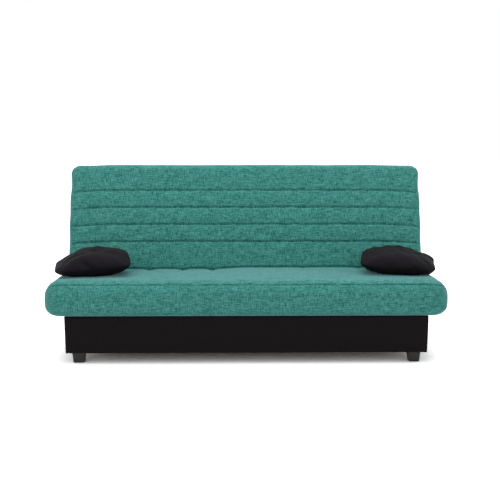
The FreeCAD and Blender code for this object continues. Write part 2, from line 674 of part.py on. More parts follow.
def make_links():
    """Four flat links with rounded ends; each rear link has a stud for its spring."""
    hole = "pin_radius + run_gap"
    for end, frame in (("rear", REAR_LINK), ("front", FRONT_LINK)):
        for word, side in SIDES:
            name = f"{end}_link_{word}"
            x = to_side(side, LINK_IN, LINK_OUT)
            parts = [
                block(name + "_bar", frame, (x[0], "-link_half", "0"),
                      ("link_thick", "2 * link_half", "link_length")),
                rod(name + "_low_end", frame, "link_half", x, "0", "0"),
                rod(name + "_high_end", frame, "link_half", x, "0", "link_length"),
            ]
            if end == "rear":
                stud_x = to_side(side, f"{SPRING_X} - spring_radius", LINK_OUT)
                parts.append(rod(name + "_stud", frame, "spring_pin", stud_x, "0", "spring_reach"))
            wide = through(*x)
            holes = [rod(name + "_low_hole", frame, hole, wide, "0", "0"),
                     rod(name + "_high_hole", frame, hole, wide, "0", "link_length")]
            keep(cut(name + "_bored", fuse(name + "_body", *parts), *holes), name)


def make_springs():
    """Tension springs from the link plates to the rear links, as a sleeve with two end eyes."""
    for word, side in SIDES:
        name = f"spring_{word}"
        middle = f"{side} * {SPRING_X}"
        coil_z = ("spring_eye - eye_lap", f"{SPRING_LENGTH} - spring_eye + eye_lap")
        ring = (f"{middle} - eye_thick / 2", f"{middle} + eye_thick / 2")
        wide = (f"{ring[0]} - spring_radius", f"{ring[1]} + spring_radius")
        coils = cut(name + "_sleeve", post(name + "_coils", SPRING, "spring_radius", middle, "0", coil_z),
                    post(name + "_hollow", SPRING, "spring_bore", middle, "0",
                         (f"{coil_z[0]} + eye_thick", f"{coil_z[1]} - eye_thick")))
        eyes = [rod(name + f"_eye_{end}", SPRING, "spring_eye", ring, "0", z)
                for end, z in (("low", "0"), ("high", SPRING_LENGTH))]
        holes = [rod(name + f"_eye_hole_{end}", SPRING, "spring_pin + run_gap", wide, "0", z)
                 for end, z in (("low", "0"), ("high", SPRING_LENGTH))]
        keep(cut(name + "_bored", fuse(name + "_body", coils, *eyes), *holes), name)


# ---- bed halves -----------------------------------------------------------------------------

def make_mattress(half):
    """One half of the mattress, with a recess for the frame and a slot for each hinge."""
    name, length, width = half.name, half.length, half.width
    setback = f"(-{HINGE_SETBACK} + half_gap)"
    outline = [half.point(*corner) for corner in (
        ("half_gap", "0"), (length, "0"), (length, "pad_thick"),
        (setback, "pad_thick"), (setback, "hinge_depth"))]
    body = new_body(f"{name}_pad")
    add_pad(body, add_sketch(body, outline), width)
    half.place(body, f"-{width} / 2", "0", "0")

    def run_depth(place):
        """Run and depth of a point of the unplaced body."""
        return (place.z, place.y) if half.lean else (-place.y, -place.z)

    far, thick, wide = number(length), number("pad_thick"), number(width)
    corner = number(f"{name}_corner")

    def at_corner(place):
        run, depth = run_depth(place)
        return abs(run - far) < NEAR and NEAR < depth < thick - NEAR

    def at_rim(place, level):
        run, depth = run_depth(place)
        on_level = abs(depth - level) < NEAR
        at_side = min(place.x, wide - place.x) < NEAR
        bend = far - corner < run < far - NEAR and min(place.x, wide - place.x) < corner
        return on_level and (at_side or bend or abs(run - far) < NEAR)

    round_edges(body, f"{name}_corner", at_corner)
    round_edges(body, f"{name}_face_round", lambda place: at_rim(place, 0))
    round_edges(body, f"{name}_base_round", lambda place: at_rim(place, thick))
    recess_x = "(frame_half + recess_gap)"
    recess = half.block(f"{name}_recess", (f"-{recess_x}", recess_x),
                        (f"-{HINGE_SETBACK} + hinge_hem", f"{length} - hem_width"),
                        (RECESS_TOP, "pad_thick + overshoot"))
    slots = [half.block(f"{name}_slot_{word}", to_side(side, SLOT_IN, SLOT_OUT),
                        (f"-{HINGE_SETBACK} - overshoot", "slot_reach"),
                        ("hinge_depth - disc_radius - slot_gap", "pad_thick + overshoot"))
             for word, side in SIDES]
    keep(cut(f"{name}_mattress", body, recess, *slots), f"mattress_{name}_half")


def make_bed_frame(half, hinge_word, edge_word):
    """The steel frame of one half: two tubes across, two at the ends and one in the middle."""
    name = half.name
    half.tube_across(f"{name}_{hinge_word}_tube", HINGE_TUBE, "frame_half")
    half.tube_across(f"{name}_{edge_word}_tube", half.edge_tube(), "frame_half")
    for word, side in SIDES:
        low = to_side(side, "frame_half - bed_tube", "frame_half")[0]
        half.tube_along(f"{name}_{word}_tube", low)
    half.tube_along(f"{name}_centre_tube", "(-bed_tube / 2)")


def make_slats(half):
    """A row of slats, each end in a holder on a tube."""
    name = half.name
    low = f"({HINGE_TUBE} + (bed_tube - slat_lap) / 2)"
    high = f"({half.edge_tube()} + (bed_tube + slat_lap) / 2)"
    first = "(-slat_pitch * (slat_count - 1) / 2)"

    def rectangle(run, depth):
        return [half.point(*corner) for corner in (
            (run[0], depth[0]), (run[1], depth[0]), (run[1], depth[1]), (run[0], depth[1]))]

    body = new_body(f"{name}_slat")
    sketch = add_sketch(body, rectangle((low, high), (SLAT_TOP, SLAT_LOW)))
    pad = add_pad(body, sketch, "slat_width")
    doc.recompute()
    add_row(body, [pad], sketch, "slat_pitch", "slat_count")
    keep(half.place(body, f"{first} - slat_width / 2", "0", "0"), f"{name}_slats")

    body = new_body(f"{name}_holder")
    features = []
    ends = (((f"{low} - holder_end", f"{low} + slat_lap"), (low, f"{low} + slat_lap + overshoot")),
            ((f"{high} - slat_lap", f"{high} + holder_end"), (f"{high} - slat_lap - overshoot", high)))
    for outer, _ in ends:
        sketch = add_sketch(body, rectangle(outer, (HOLDER_TOP, TUBE_TOP)))
        features.append(add_pad(body, sketch, "slat_width + 2 * holder_wall"))
        doc.recompute()
    for _, inner in ends:
        sketch = add_sketch(body, rectangle(inner, (SLAT_TOP, SLAT_LOW)), offset="holder_wall")
        features.append(add_pocket(body, sketch, "slat_width"))
        doc.recompute()
    add_row(body, features, sketch, "slat_pitch", "slat_count")
    keep(half.place(body, f"{first} - slat_width / 2 - holder_wall", "0", "0"), f"{name}_slat_holders")


def make_seat_links():
    """The two rails under the seat frame and the brackets that take the upper pivot pins."""
    low = f"crease_height - {TUBE_LOW}"
    for word, side in SIDES:
        x = to_side(side, f"{BRACKET_IN} - bracket_rail", f"{BRACKET_IN} - bracket_rail + bed_tube")
        SEAT.tube_along(f"seat_link_rail_{word}", x[0])
        x = to_side(side, BRACKET_IN, BRACKET_OUT)
        pieces = []
        for end, shift in (("rear", "0"), ("front", "pivot_span")):
            name = f"bracket_{end}_{word}"
            middle = f"({UPPER_Y} - {shift})"
            parts = [
                block(name + "_web", CHEST, (x[0], f"{middle} - link_half", UPPER_Z),
                      ("link_thick", "2 * link_half", f"{low} - {UPPER_Z}")),
                rod(name + "_end", CHEST, "link_half", x, middle, UPPER_Z),
            ]
            hole = rod(name + "_hole", CHEST, "pin_radius", through(*x), middle, UPPER_Z)
            pieces.append(cut(name, fuse(name + "_body", *parts), hole))
        keep(group(f"brackets_{word}", pieces), f"seat_link_bracket_{word}")


def arm_outline(half):
    """A ratchet arm from its disc to its weld along the frame's end tube."""
    hinge_run = f"-{HINGE_SETBACK}"
    return [half.point(*corner) for corner in (
        (f"{hinge_run} - arm_half / 2", "hinge_depth + disc_radius / 2"),
        (f"{hinge_run} + arm_half", "hinge_depth - disc_radius / 2"),
        ("arm_reach", TUBE_TOP), ("arm_reach", TUBE_LOW),
        (f"{hinge_run} + bed_tube + hinge_hem", TUBE_LOW))]


def make_ratchets():
    """Ratchet hinges: a toothed seat arm, a back arm with a pawl, and the pin through both."""
    pins, pawls = [], []
    hinge_run = f"-{HINGE_SETBACK}"
    hinge = SEAT.point(hinge_run, "hinge_depth")
    for word, side in SIDES:
        x = to_side(side, ARM_IN, SEAT_ARM_OUT)
        arm = plate(f"seat_arm_{word}", SEAT, arm_outline(SEAT), x)
        disc = rod(f"seat_disc_{word}", SEAT, "disc_radius", x, *hinge)
        teeth = []
        for index in range(int(number("tooth_count"))):
            angle = f"({index} * 360 / tooth_count)"
            spot = (f"{hinge[0]} + disc_radius * cos({angle})", f"{hinge[1]} + disc_radius * sin({angle})")
            teeth.append(rod(f"tooth_{word}_{index}", SEAT, "tooth_depth", through(*x), *spot))
        bore = rod(f"seat_arm_bore_{word}", SEAT, "pin_radius", through(*x), *hinge)
        toothed = cut(f"seat_toothed_{word}", disc, *teeth)
        solid = fuse(f"seat_arm_solid_{word}", arm, toothed)
        keep(cut(f"seat_arm_bored_{word}", solid, bore), f"ratchet_seat_arm_{word}")

        x = to_side(side, BACK_ARM_IN, BACK_ARM_OUT)
        spot = BACK.point(hinge_run, "hinge_depth")
        arm = plate(f"back_arm_{word}", BACK, arm_outline(BACK), x)
        disc = rod(f"back_disc_{word}", BACK, "disc_radius + tooth_depth / 2", x, *spot)
        spacer = BACK.block(f"back_spacer_{word}", to_side(side, ARM_IN, BACK_ARM_IN),
                            ("0", "arm_reach"), (TUBE_TOP, TUBE_LOW))
        bore = rod(f"back_arm_bore_{word}", BACK, "pin_radius + run_gap", through(*x), *spot)
        solid = fuse(f"back_arm_solid_{word}", arm, disc, spacer)
        keep(cut(f"back_arm_bored_{word}", solid, bore), f"ratchet_back_arm_{word}")
        pawls.append(BACK.block(
            f"pawl_{word}", to_side(side, f"{ARM_IN} + arm_gap", BACK_ARM_IN),
            (f"{hinge_run} + disc_radius + arm_gap", f"{hinge_run} + disc_radius + arm_gap + pawl_length"),
            ("hinge_depth + pawl_drop", "hinge_depth + pawl_drop + pawl_width")))

        shaft = rod(f"ratchet_shaft_{word}", SEAT, "pin_radius",
                    to_side(side, f"{ARM_IN} - holder_wall", f"{BACK_ARM_OUT} + holder_wall"), *hinge)
        head = rod(f"ratchet_head_{word}", SEAT, "head_radius",
                   to_side(side, f"{ARM_IN} - holder_wall", ARM_IN), *hinge)
        cap = rod(f"ratchet_cap_{word}", SEAT, "head_radius",
                  to_side(side, f"{BACK_ARM_OUT} + arm_gap", f"{BACK_ARM_OUT} + holder_wall"), *hinge)
        pins.append(fuse(f"ratchet_pin_{word}", shaft, head, cap))
    keep(group("ratchet_pin_pair", pins), "ratchet_pins")
    keep(group("pawl_pair", pawls), "ratchet_pawls")


# ---- loose pillows --------------------------------------------------------------------------

def make_pillows():
    """Two square pillows that lie on the seat, each turned a little in plan."""
    half = "pillow_side / 2"
    for word, side in SIDES:
        body = new_body(f"{word}_pillow")
        outline = [(f"-{half}", "0"), (half, "0"), (half, "pillow_thick"), (f"-{half}", "pillow_thick")]
        add_pad(body, add_sketch(body, outline), "pillow_side")
        body.Placement.Rotation.Axis = Z_AXIS
        yaw = f"{-side} * pillow_yaw"
        middle = (f"{side} * pillow_x", f"{word}_pillow_y")
        bind(body, {
            "Placement.Rotation.Angle": yaw,
            "Placement.Base.x": f"{middle[0]} - {half} * cos({yaw})",
            "Placement.Base.y": f"{CENTRE_Y} + {middle[1]} - {half} * sin({yaw})",
            "Placement.Base.z": "crease_height + pillow_gap",
        })
        thick = number("pillow_thick")
        round_edges(body, "pillow_corner", lambda place: NEAR < place.z < thick - NEAR)
        round_edges(body, "pillow_round", lambda place: min(place.z, thick - place.z) < NEAR)
        keep(body, f"pillow_{word}")


# ---- assembly -------------------------------------------------------------------------------

def build():
    """Make every sub-part."""
    make_chest()
    make_feet()
    make_lift_hinges()
    make_lift_frame()
    make_bumpers()
    make_pins()
    make_links()
    make_springs()
    make_bed_frame(SEAT, "rear", "front")
    make_bed_frame(BACK, "lower", "upper")
    for half in (SEAT, BACK):
        make_slats(half)
        make_mattress(half)
    make_seat_links()
    make_ratchets()
    make_pillows()
    doc.recompute()


def check():
    """Stop on a failed object or an unusable shape."""
    faults = [item.Name for item in doc.Objects if {"Invalid", "Error"} & set(item.State)]
    faults += [item.Label for item in NODES if item.Shape.isNull() or not item.Shape.isValid()]
    if faults:
        raise RuntimeError("unusable: " + ", ".join(faults))


def export():
    """Write one file for each sub-part."""
    os.makedirs("parts", exist_ok=True)
    for item in NODES:
        item.Shape.exportStep(os.path.join("parts", item.Label + ".step"))
        box = item.Shape.BoundBox
        print(f"{item.Label:26s} {len(item.Shape.Solids):3d} solids  x {box.XMin:8.1f} {box.XMax:8.1f}"
              f"  y {box.YMin:8.1f} {box.YMax:8.1f}  z {box.ZMin:7.1f} {box.ZMax:7.1f}")


build()
check()
export()
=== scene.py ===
"""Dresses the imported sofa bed: soft parts, chest cover, springs, fixings, finishes and room.

The mattress is one padded piece that folds at the crease between the seat and the back. All
lengths are in metres in the part's own frame: +X to the sitter's left, -Y to the front, +Z up.
"""

from __future__ import annotations

import logging
import math
from collections.abc import Mapping, Sequence
from dataclasses import dataclass, field
from enum import Enum

import bmesh
import bpy
import numpy as np
from mathutils import Euler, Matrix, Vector

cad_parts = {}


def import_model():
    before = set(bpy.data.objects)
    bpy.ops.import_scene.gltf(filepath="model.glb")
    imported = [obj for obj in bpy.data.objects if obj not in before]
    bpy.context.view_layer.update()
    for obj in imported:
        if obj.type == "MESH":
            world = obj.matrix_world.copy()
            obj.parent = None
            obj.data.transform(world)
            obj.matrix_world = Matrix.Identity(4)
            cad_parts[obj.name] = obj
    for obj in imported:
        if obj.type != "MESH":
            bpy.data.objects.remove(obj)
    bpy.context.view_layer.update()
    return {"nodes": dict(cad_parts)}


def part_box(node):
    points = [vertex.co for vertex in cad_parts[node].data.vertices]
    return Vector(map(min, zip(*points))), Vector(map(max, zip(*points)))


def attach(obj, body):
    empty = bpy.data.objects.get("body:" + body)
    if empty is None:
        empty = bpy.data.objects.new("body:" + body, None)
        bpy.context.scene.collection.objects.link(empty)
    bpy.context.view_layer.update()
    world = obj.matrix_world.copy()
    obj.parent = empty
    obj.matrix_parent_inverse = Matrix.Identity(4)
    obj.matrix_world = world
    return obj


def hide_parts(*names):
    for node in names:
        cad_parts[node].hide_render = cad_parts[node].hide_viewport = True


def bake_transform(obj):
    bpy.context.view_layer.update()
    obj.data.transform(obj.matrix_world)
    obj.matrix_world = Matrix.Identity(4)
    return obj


LOG = logging.getLogger("sofa_bed")
Colour = tuple[float, float, float, float]


def paint(red: int, green: int, blue: int) -> Colour:
    """Turns a display colour into the scene-linear one that a shader takes.

    Args:
        red: Red from 0 to 255.
        green: Green from 0 to 255.
        blue: Blue from 0 to 255.

    Returns:
        The linear colour with a full alpha.
    """
    parts = [value / 255 for value in (red, green, blue)]
    linear = [p / 12.92 if p <= 0.04045 else ((p + 0.055) / 1.055) ** 2.4 for p in parts]
    return (linear[0], linear[1], linear[2], 1.0)


def ripple(a: np.ndarray, b: np.ndarray, length: float, seed: int, waves: int = 7) -> np.ndarray:
    """Gives a smooth wandering height from a few sine waves in seeded directions.

    Args:
        a: First coordinate of each point.
        b: Second coordinate of each point.
        length: Mean wavelength.
        seed: Seed of the directions and phases.
        waves: Number of waves.

    Returns:
        Heights of about -1 to 1.
    """
    dice = np.random.default_rng(seed)
    total = np.zeros(np.broadcast(a, b).shape)
    for _ in range(waves):
        turn, phase = dice.uniform(0, math.tau, 2)
        step = math.tau / (length * dice.uniform(0.65, 1.5))
        total = total + np.sin((a * math.cos(turn) + b * math.sin(turn)) * step + phase)
    return total / math.sqrt(waves)


def ease(low: float, high: float, value: np.ndarray) -> np.ndarray:
    """Rises smoothly from 0 at low to 1 at high."""
    t = np.clip((value - low) / (high - low), 0, 1)
    return t * t * (3 - 2 * t)


def graded(
    start: float, stop: float, marks: Sequence[float], fine: float, coarse: float
) -> list[float]:
    """Spaces values from start to stop, close together near the marks and wider elsewhere.

    Args:
        start: First value.
        stop: Last value.
        marks: Places that need close spacing.
        fine: Spacing at a mark.
        coarse: Widest spacing.

    Returns:
        The values, with every mark between start and stop among them.
    """
    stops = sorted({start, stop, *[m for m in marks if start < m < stop]})
    values = [start]
    for low, high in zip(stops, stops[1:]):
        at, run = low, []
        while at < high:
            near = min(abs(at - m) for m in marks) if marks else coarse
            at += min(coarse, max(fine, 0.3 * near))
            run.append(at)
        scale = (high - low) / (run[-1] - low)
        values += [low + (v - low) * scale for v in run]
    return values


def filled(values: Sequence[float], count: int) -> list[float]:
    """Splits the widest gaps until there are count values."""
    out = list(values)
    while len(out) < count:
        widest = max(range(len(out) - 1), key=lambda i: abs(out[i + 1] - out[i]))
        out.insert(widest + 1, (out[widest] + out[widest + 1]) / 2)
    return out


class Tree:
    """A shader or geometry node tree that is being wired up."""

    def __init__(self, tree: bpy.types.NodeTree) -> None:
        """Takes the tree to wire."""
        self.tree = tree

    def add(
        self, kind: str, inputs: Mapping[int | str, object] | None = None, **settings: object
    ) -> bpy.types.Node:
        """Adds a node.

        Args:
            kind: Type name of the node.
            inputs: What each input takes, a value or another node's output.
            **settings: Properties of the node.

        Returns:
            The new node.
        """
        node = self.tree.nodes.new(kind)
        for name, value in settings.items():
            setattr(node, name, value)
        self.feed(node, inputs or {})
        return node

    def feed(self, node: bpy.types.Node, inputs: Mapping[int | str, object]) -> None:
        """Links or sets each named input of a node."""
        for key, value in inputs.items():
            if isinstance(value, bpy.types.NodeSocket):
                self.tree.links.new(value, node.inputs[key])
            else:
                node.inputs[key].default_value = value

    def link(self, socket: bpy.types.NodeSocket, target: bpy.types.NodeSocket) -> None:
        """Joins an output to an input."""
        self.tree.links.new(socket, target)

    def noise(
        self, vector: bpy.types.NodeSocket, scale: object, **more: float
    ) -> bpy.types.NodeSocket:
        """Adds a Noise Texture and returns its factor; more is Detail, Roughness or Distortion."""
        inputs = {"Vector": vector, "Scale": scale, **more}
        return self.add("ShaderNodeTexNoise", inputs).outputs["Fac"]

    def maths(self, operation: str, *values: object) -> bpy.types.NodeSocket:
        """Adds a Math node and returns its result."""
        return self.add("ShaderNodeMath", dict(enumerate(values)), operation=operation).outputs[0]

    def scaled(
        self, vector: bpy.types.NodeSocket, factors: Sequence[float] | bpy.types.NodeSocket
    ) -> bpy.types.NodeSocket:
        """Multiplies a vector by another and returns it."""
        return self.add(
            "ShaderNodeVectorMath", {0: vector, 1: factors}, operation="MULTIPLY"
        ).outputs[0]

    def span(
        self, value: bpy.types.NodeSocket, low: object, high: object, out_low: object = 0.0,
        out_high: object = 1.0,
    ) -> bpy.types.NodeSocket:
        """Maps a value from one range to another, held at both ends."""
        inputs = {
            "Value": value, "From Min": low, "From Max": high, "To Min": out_low, "To Max": out_high
        }
        return self.add("ShaderNodeMapRange", inputs).outputs["Result"]

    def mixed(
        self, share: bpy.types.NodeSocket | float, first: object, second: object, blend: str = "MIX"
    ) -> bpy.types.NodeSocket:
        """Mixes two colours and returns the result."""
        node = self.tree.nodes.new("ShaderNodeMix")
        node.data_type, node.blend_type = "RGBA", blend
        self.feed(node, {0: share, 6: first, 7: second})
        return node.outputs[2]


def new_group(
    name: str, inputs: Sequence[tuple[str, str, object]], outputs: Sequence[tuple[str, str]]
) -> tuple[Tree, bpy.types.Node, bpy.types.Node]:
    """Starts a shader node group.

    Args:
        name: Name of the group.
        inputs: Name, socket type and default value of each input.
        outputs: Name and socket type of each output.

    Returns:
        The tree with its group input and group output nodes.
    """
    group = bpy.data.node_groups.new(name, "ShaderNodeTree")
    for label, kind, value in inputs:
        socket = group.interface.new_socket(name=label, in_out="INPUT", socket_type=kind)
        if value is not None:
            socket.default_value = value
    for label, kind in outputs:
        group.interface.new_socket(name=label, in_out="OUTPUT", socket_type=kind)
    tree = Tree(group)
    return tree, tree.add("NodeGroupInput"), tree.add("NodeGroupOutput")


VECTOR, NUMBER = "NodeSocketVector", "NodeSocketFloat"


def slub_weave_group() -> bpy.types.NodeTree:
    """Makes plain-woven cloth with thick and thin yarns, as a shade and a height."""
    tree, start, end = new_group(
        "slub_weave",
        [
            ("Vector", VECTOR, None), ("Yarn", NUMBER, 0.0014), ("Slub", NUMBER, 0.016),
            ("Girth", NUMBER, 0.0032), ("Contrast", NUMBER, 1.0),
        ],
        [("Shade", NUMBER), ("Height", NUMBER)],
    )
    at = start.outputs["Vector"]
    per_slub = tree.maths("DIVIDE", 1.0, start.outputs["Slub"])
    per_girth = tree.maths("DIVIDE", 1.0, start.outputs["Girth"])
    streaks = []
    for lengthwise in (True, False):
        first, second = (per_slub, per_girth) if lengthwise else (per_girth, per_slub)
        factors = tree.add(
            "ShaderNodeCombineXYZ", {0: first, 1: second, 2: 0.0 if lengthwise else 1.0}
        ).outputs[0]
        moved = tree.add(
            "ShaderNodeVectorMath",
            {0: tree.scaled(at, factors), 1: (3.1, 7.7, 0.4) if lengthwise else (11.3, 2.9, 5.2)},
            operation="ADD",
        ).outputs[0]
        noise = tree.add(
            "ShaderNodeTexNoise", {"Vector": moved, "Scale": 1.0, "Detail": 1.5, "Roughness": 0.55}
        )
        streaks.append(noise.outputs["Fac"])
    cloud = tree.noise(at, 26.0, Detail=2.0, Roughness=0.6)
    both = tree.maths("ADD", streaks[0], streaks[1])
    spread = tree.maths("SUBTRACT", both, 1.0)
    softened = tree.maths("MULTIPLY_ADD", tree.maths("SUBTRACT", cloud, 0.5), 0.16, spread)
    shade = tree.maths(
        "MULTIPLY_ADD", tree.maths("MULTIPLY", softened, start.outputs["Contrast"]), 1.9, 0.5
    )
    turns = tree.maths("DIVIDE", math.tau, start.outputs["Yarn"])
    parts = tree.add("ShaderNodeSeparateXYZ", {0: at})
    across = tree.maths("SINE", tree.maths("MULTIPLY", parts.outputs[0], turns))
    along = tree.maths("SINE", tree.maths("MULTIPLY", parts.outputs[1], turns))
    crossing = tree.maths("MULTIPLY", across, along)
    height = tree.maths("MULTIPLY_ADD", crossing, 0.45, shade)
    tree.link(tree.add("ShaderNodeClamp", {0: shade}).outputs[0], end.inputs["Shade"])
    tree.link(height, end.inputs["Height"])
    return tree.tree


def grain_group() -> bpy.types.NodeTree:
    """Makes wood grain along Y with a different start for each board, as a shade and a height."""
    tree, start, end = new_group(
        "board_grain",
        [
            ("Vector", VECTOR, None), ("Board", NUMBER, 0.128), ("Stretch", NUMBER, 14.0),
            ("Scale", NUMBER, 260.0),
        ],
        [("Shade", NUMBER), ("Height", NUMBER)],
    )
    at = start.outputs["Vector"]
    parts = tree.add("ShaderNodeSeparateXYZ", {0: at})
    board = tree.maths("FLOOR", tree.maths("DIVIDE", parts.outputs[0], start.outputs["Board"]))
    chance = tree.add("ShaderNodeTexWhiteNoise", {"W": board}, noise_dimensions="1D")
    shift = tree.scaled(chance.outputs["Color"], (3.0, 9.0, 3.0))
    moved = tree.add("ShaderNodeVectorMath", {0: at, 1: shift}, operation="ADD").outputs[0]
    thin = tree.maths("DIVIDE", start.outputs["Scale"], start.outputs["Stretch"])
    factors = tree.add(
        "ShaderNodeCombineXYZ", {0: start.outputs["Scale"], 1: thin, 2: start.outputs["Scale"]}
    ).outputs[0]
    fibres = tree.noise(
        tree.scaled(moved, factors), 1.0, Detail=4.0, Roughness=0.62, Distortion=0.4
    )
    figure = tree.noise(tree.scaled(moved, (34.0, 2.2, 34.0)), 1.0, Detail=2.0)
    tone = tree.maths(
        "MULTIPLY_ADD", tree.maths("SUBTRACT", chance.outputs["Value"], 0.5), 0.25,
        tree.maths("MULTIPLY_ADD", figure, 0.55, tree.maths("MULTIPLY", fibres, 0.5)),
    )
    tree.link(tree.span(tone, 0.25, 0.85), end.inputs["Shade"])
    tree.link(fibres, end.inputs["Height"])
    return tree.tree


def wear_group() -> bpy.types.NodeTree:
    """Makes scuffs and settled dust, as a mask of each and a fine height."""
    tree, start, end = new_group(
        "handling_wear",
        [
            ("Vector", VECTOR, None), ("Scale", NUMBER, 18.0), ("Scuffs", NUMBER, 0.35),
            ("Dust", NUMBER, 0.3),
        ],
        [("Scuff", NUMBER), ("Dust", NUMBER), ("Height", NUMBER)],
    )
    at = start.outputs["Vector"]
    patches = tree.noise(at, start.outputs["Scale"], Detail=5.0, Roughness=0.68)
    lines = tree.noise(tree.scaled(at, (240.0, 30.0, 90.0)), 1.0, Detail=3.0)
    rubbed = tree.maths("MULTIPLY", tree.span(patches, 0.52, 0.68), tree.span(lines, 0.5, 0.62))
    tree.link(tree.maths("MULTIPLY", rubbed, start.outputs["Scuffs"]), end.inputs["Scuff"])
    film = tree.noise(at, 7.0, Detail=6.0, Roughness=0.7)
    tree.link(
        tree.maths("MULTIPLY", tree.span(film, 0.45, 0.75), start.outputs["Dust"]),
        end.inputs["Dust"],
    )
    pores = tree.noise(at, 900.0, Detail=2.0)
    tree.link(pores, end.inputs["Height"])
    return tree.tree


class Family(Enum):
    """What a finish is made of."""

    CLOTH = "cloth"
    FELT = "felt"
    WOOD = "wood"
    METAL = "metal"
    MOULDED = "moulded"


class Place(Enum):
    """Where a finish reads its pattern."""

    OBJECT = "Object"
    UV = "UV"


@dataclass(frozen=True)
class Finish:
    """One finish: its two end colours, gloss and pattern sizes."""

    name: str
    family: Family
    dark: Colour
    light: Colour
    roughness: float = 0.6
    metallic: float = 0.0
    sheen: float = 0.0
    bloom: Colour = (0.5, 0.5, 0.5, 1.0)
    bump: float = 0.3
    depth: float = 0.0004
    yarn: float = 0.0014
    slub: float = 0.016
    girth: float = 0.0032
    contrast: float = 1.0
    scuffs: float = 0.3
    dust: float = 0.2
    place: Place = Place.OBJECT


MATTRESS = Finish(
    "mattress_cover", Family.CLOTH, paint(14, 86, 78), paint(82, 154, 146), roughness=0.92,
    sheen=0.55, bloom=(0.53, 0.75, 0.90, 1.0), bump=0.5, depth=0.0005, slub=0.025, girth=0.0031,
    contrast=0.84, place=Place.UV,
)
PILLOW = Finish(
    "pillow_fabric", Family.CLOTH, paint(7, 5, 8), paint(23, 20, 26), roughness=0.88, sheen=0.03,
    bump=0.4, depth=0.0003, slub=0.007, girth=0.0016, yarn=0.0009, contrast=0.6, place=Place.UV,
)
CHEST = Finish(
    "chest_fabric", Family.CLOTH, paint(10, 7, 9), paint(25, 20, 23), roughness=0.92, bump=0.35,
    depth=0.0003, slub=0.009, girth=0.0018, yarn=0.0010, contrast=0.5, place=Place.UV,
)
LINING = Finish(
    "mattress_lining", Family.FELT, paint(38, 38, 40), paint(66, 66, 68), roughness=0.95, bump=0.5,
    depth=0.0004, dust=0.15,
)
THREAD = Finish(
    "seam_thread", Family.CLOTH, paint(22, 76, 66), paint(52, 112, 100), roughness=0.8, bump=0.3,
    slub=0.002, girth=0.0006, yarn=0.0005,
)
DARK_THREAD = Finish(
    "dark_thread", Family.CLOTH, paint(16, 14, 17), paint(34, 30, 36), roughness=0.8, bump=0.3,
    slub=0.002, girth=0.0006, yarn=0.0005,
)
BEECH = Finish(
    "slat_beech", Family.WOOD, paint(176, 128, 82), paint(222, 184, 138), roughness=0.5, bump=0.25,
    depth=0.0003,
)
PINE = Finish(
    "block_pine", Family.WOOD, paint(186, 142, 88), paint(230, 196, 144), roughness=0.65, bump=0.3,
    depth=0.0004,
)
HARDBOARD = Finish(
    "floor_hardboard", Family.FELT, paint(112, 107, 100), paint(146, 141, 133), roughness=0.7,
    bump=0.35, depth=0.0003, dust=0.35,
)
FOOT = Finish(
    "foot_plastic", Family.MOULDED, paint(7, 5, 6), paint(13, 11, 12), roughness=0.5, bump=0.25,
    depth=0.0002, dust=0.1,
)
HOLDER = Finish(
    "holder_plastic", Family.MOULDED, paint(24, 24, 26), paint(44, 44, 47), roughness=0.5, bump=0.2,
    depth=0.0002,
)
RUBBER = Finish(
    "bumper_rubber", Family.MOULDED, paint(20, 20, 20), paint(38, 38, 38), roughness=0.85,
    bump=0.35, depth=0.0003,
)
POWDER = Finish(
    "frame_powder_coat", Family.METAL, paint(44, 45, 48), paint(76, 78, 82), roughness=0.42,
    metallic=0.0, bump=0.25, depth=0.0002, scuffs=0.5,
)
ZINC = Finish(
    "zinc_plate", Family.METAL, paint(150, 152, 156), paint(196, 198, 202), roughness=0.34,
    metallic=1.0, bump=0.15, depth=0.0001, scuffs=0.5,
)
SPRING = Finish(
    "spring_wire", Family.METAL, paint(104, 106, 110), paint(158, 160, 164), roughness=0.3,
    metallic=1.0, bump=0.1, depth=0.0001, scuffs=0.3,
)


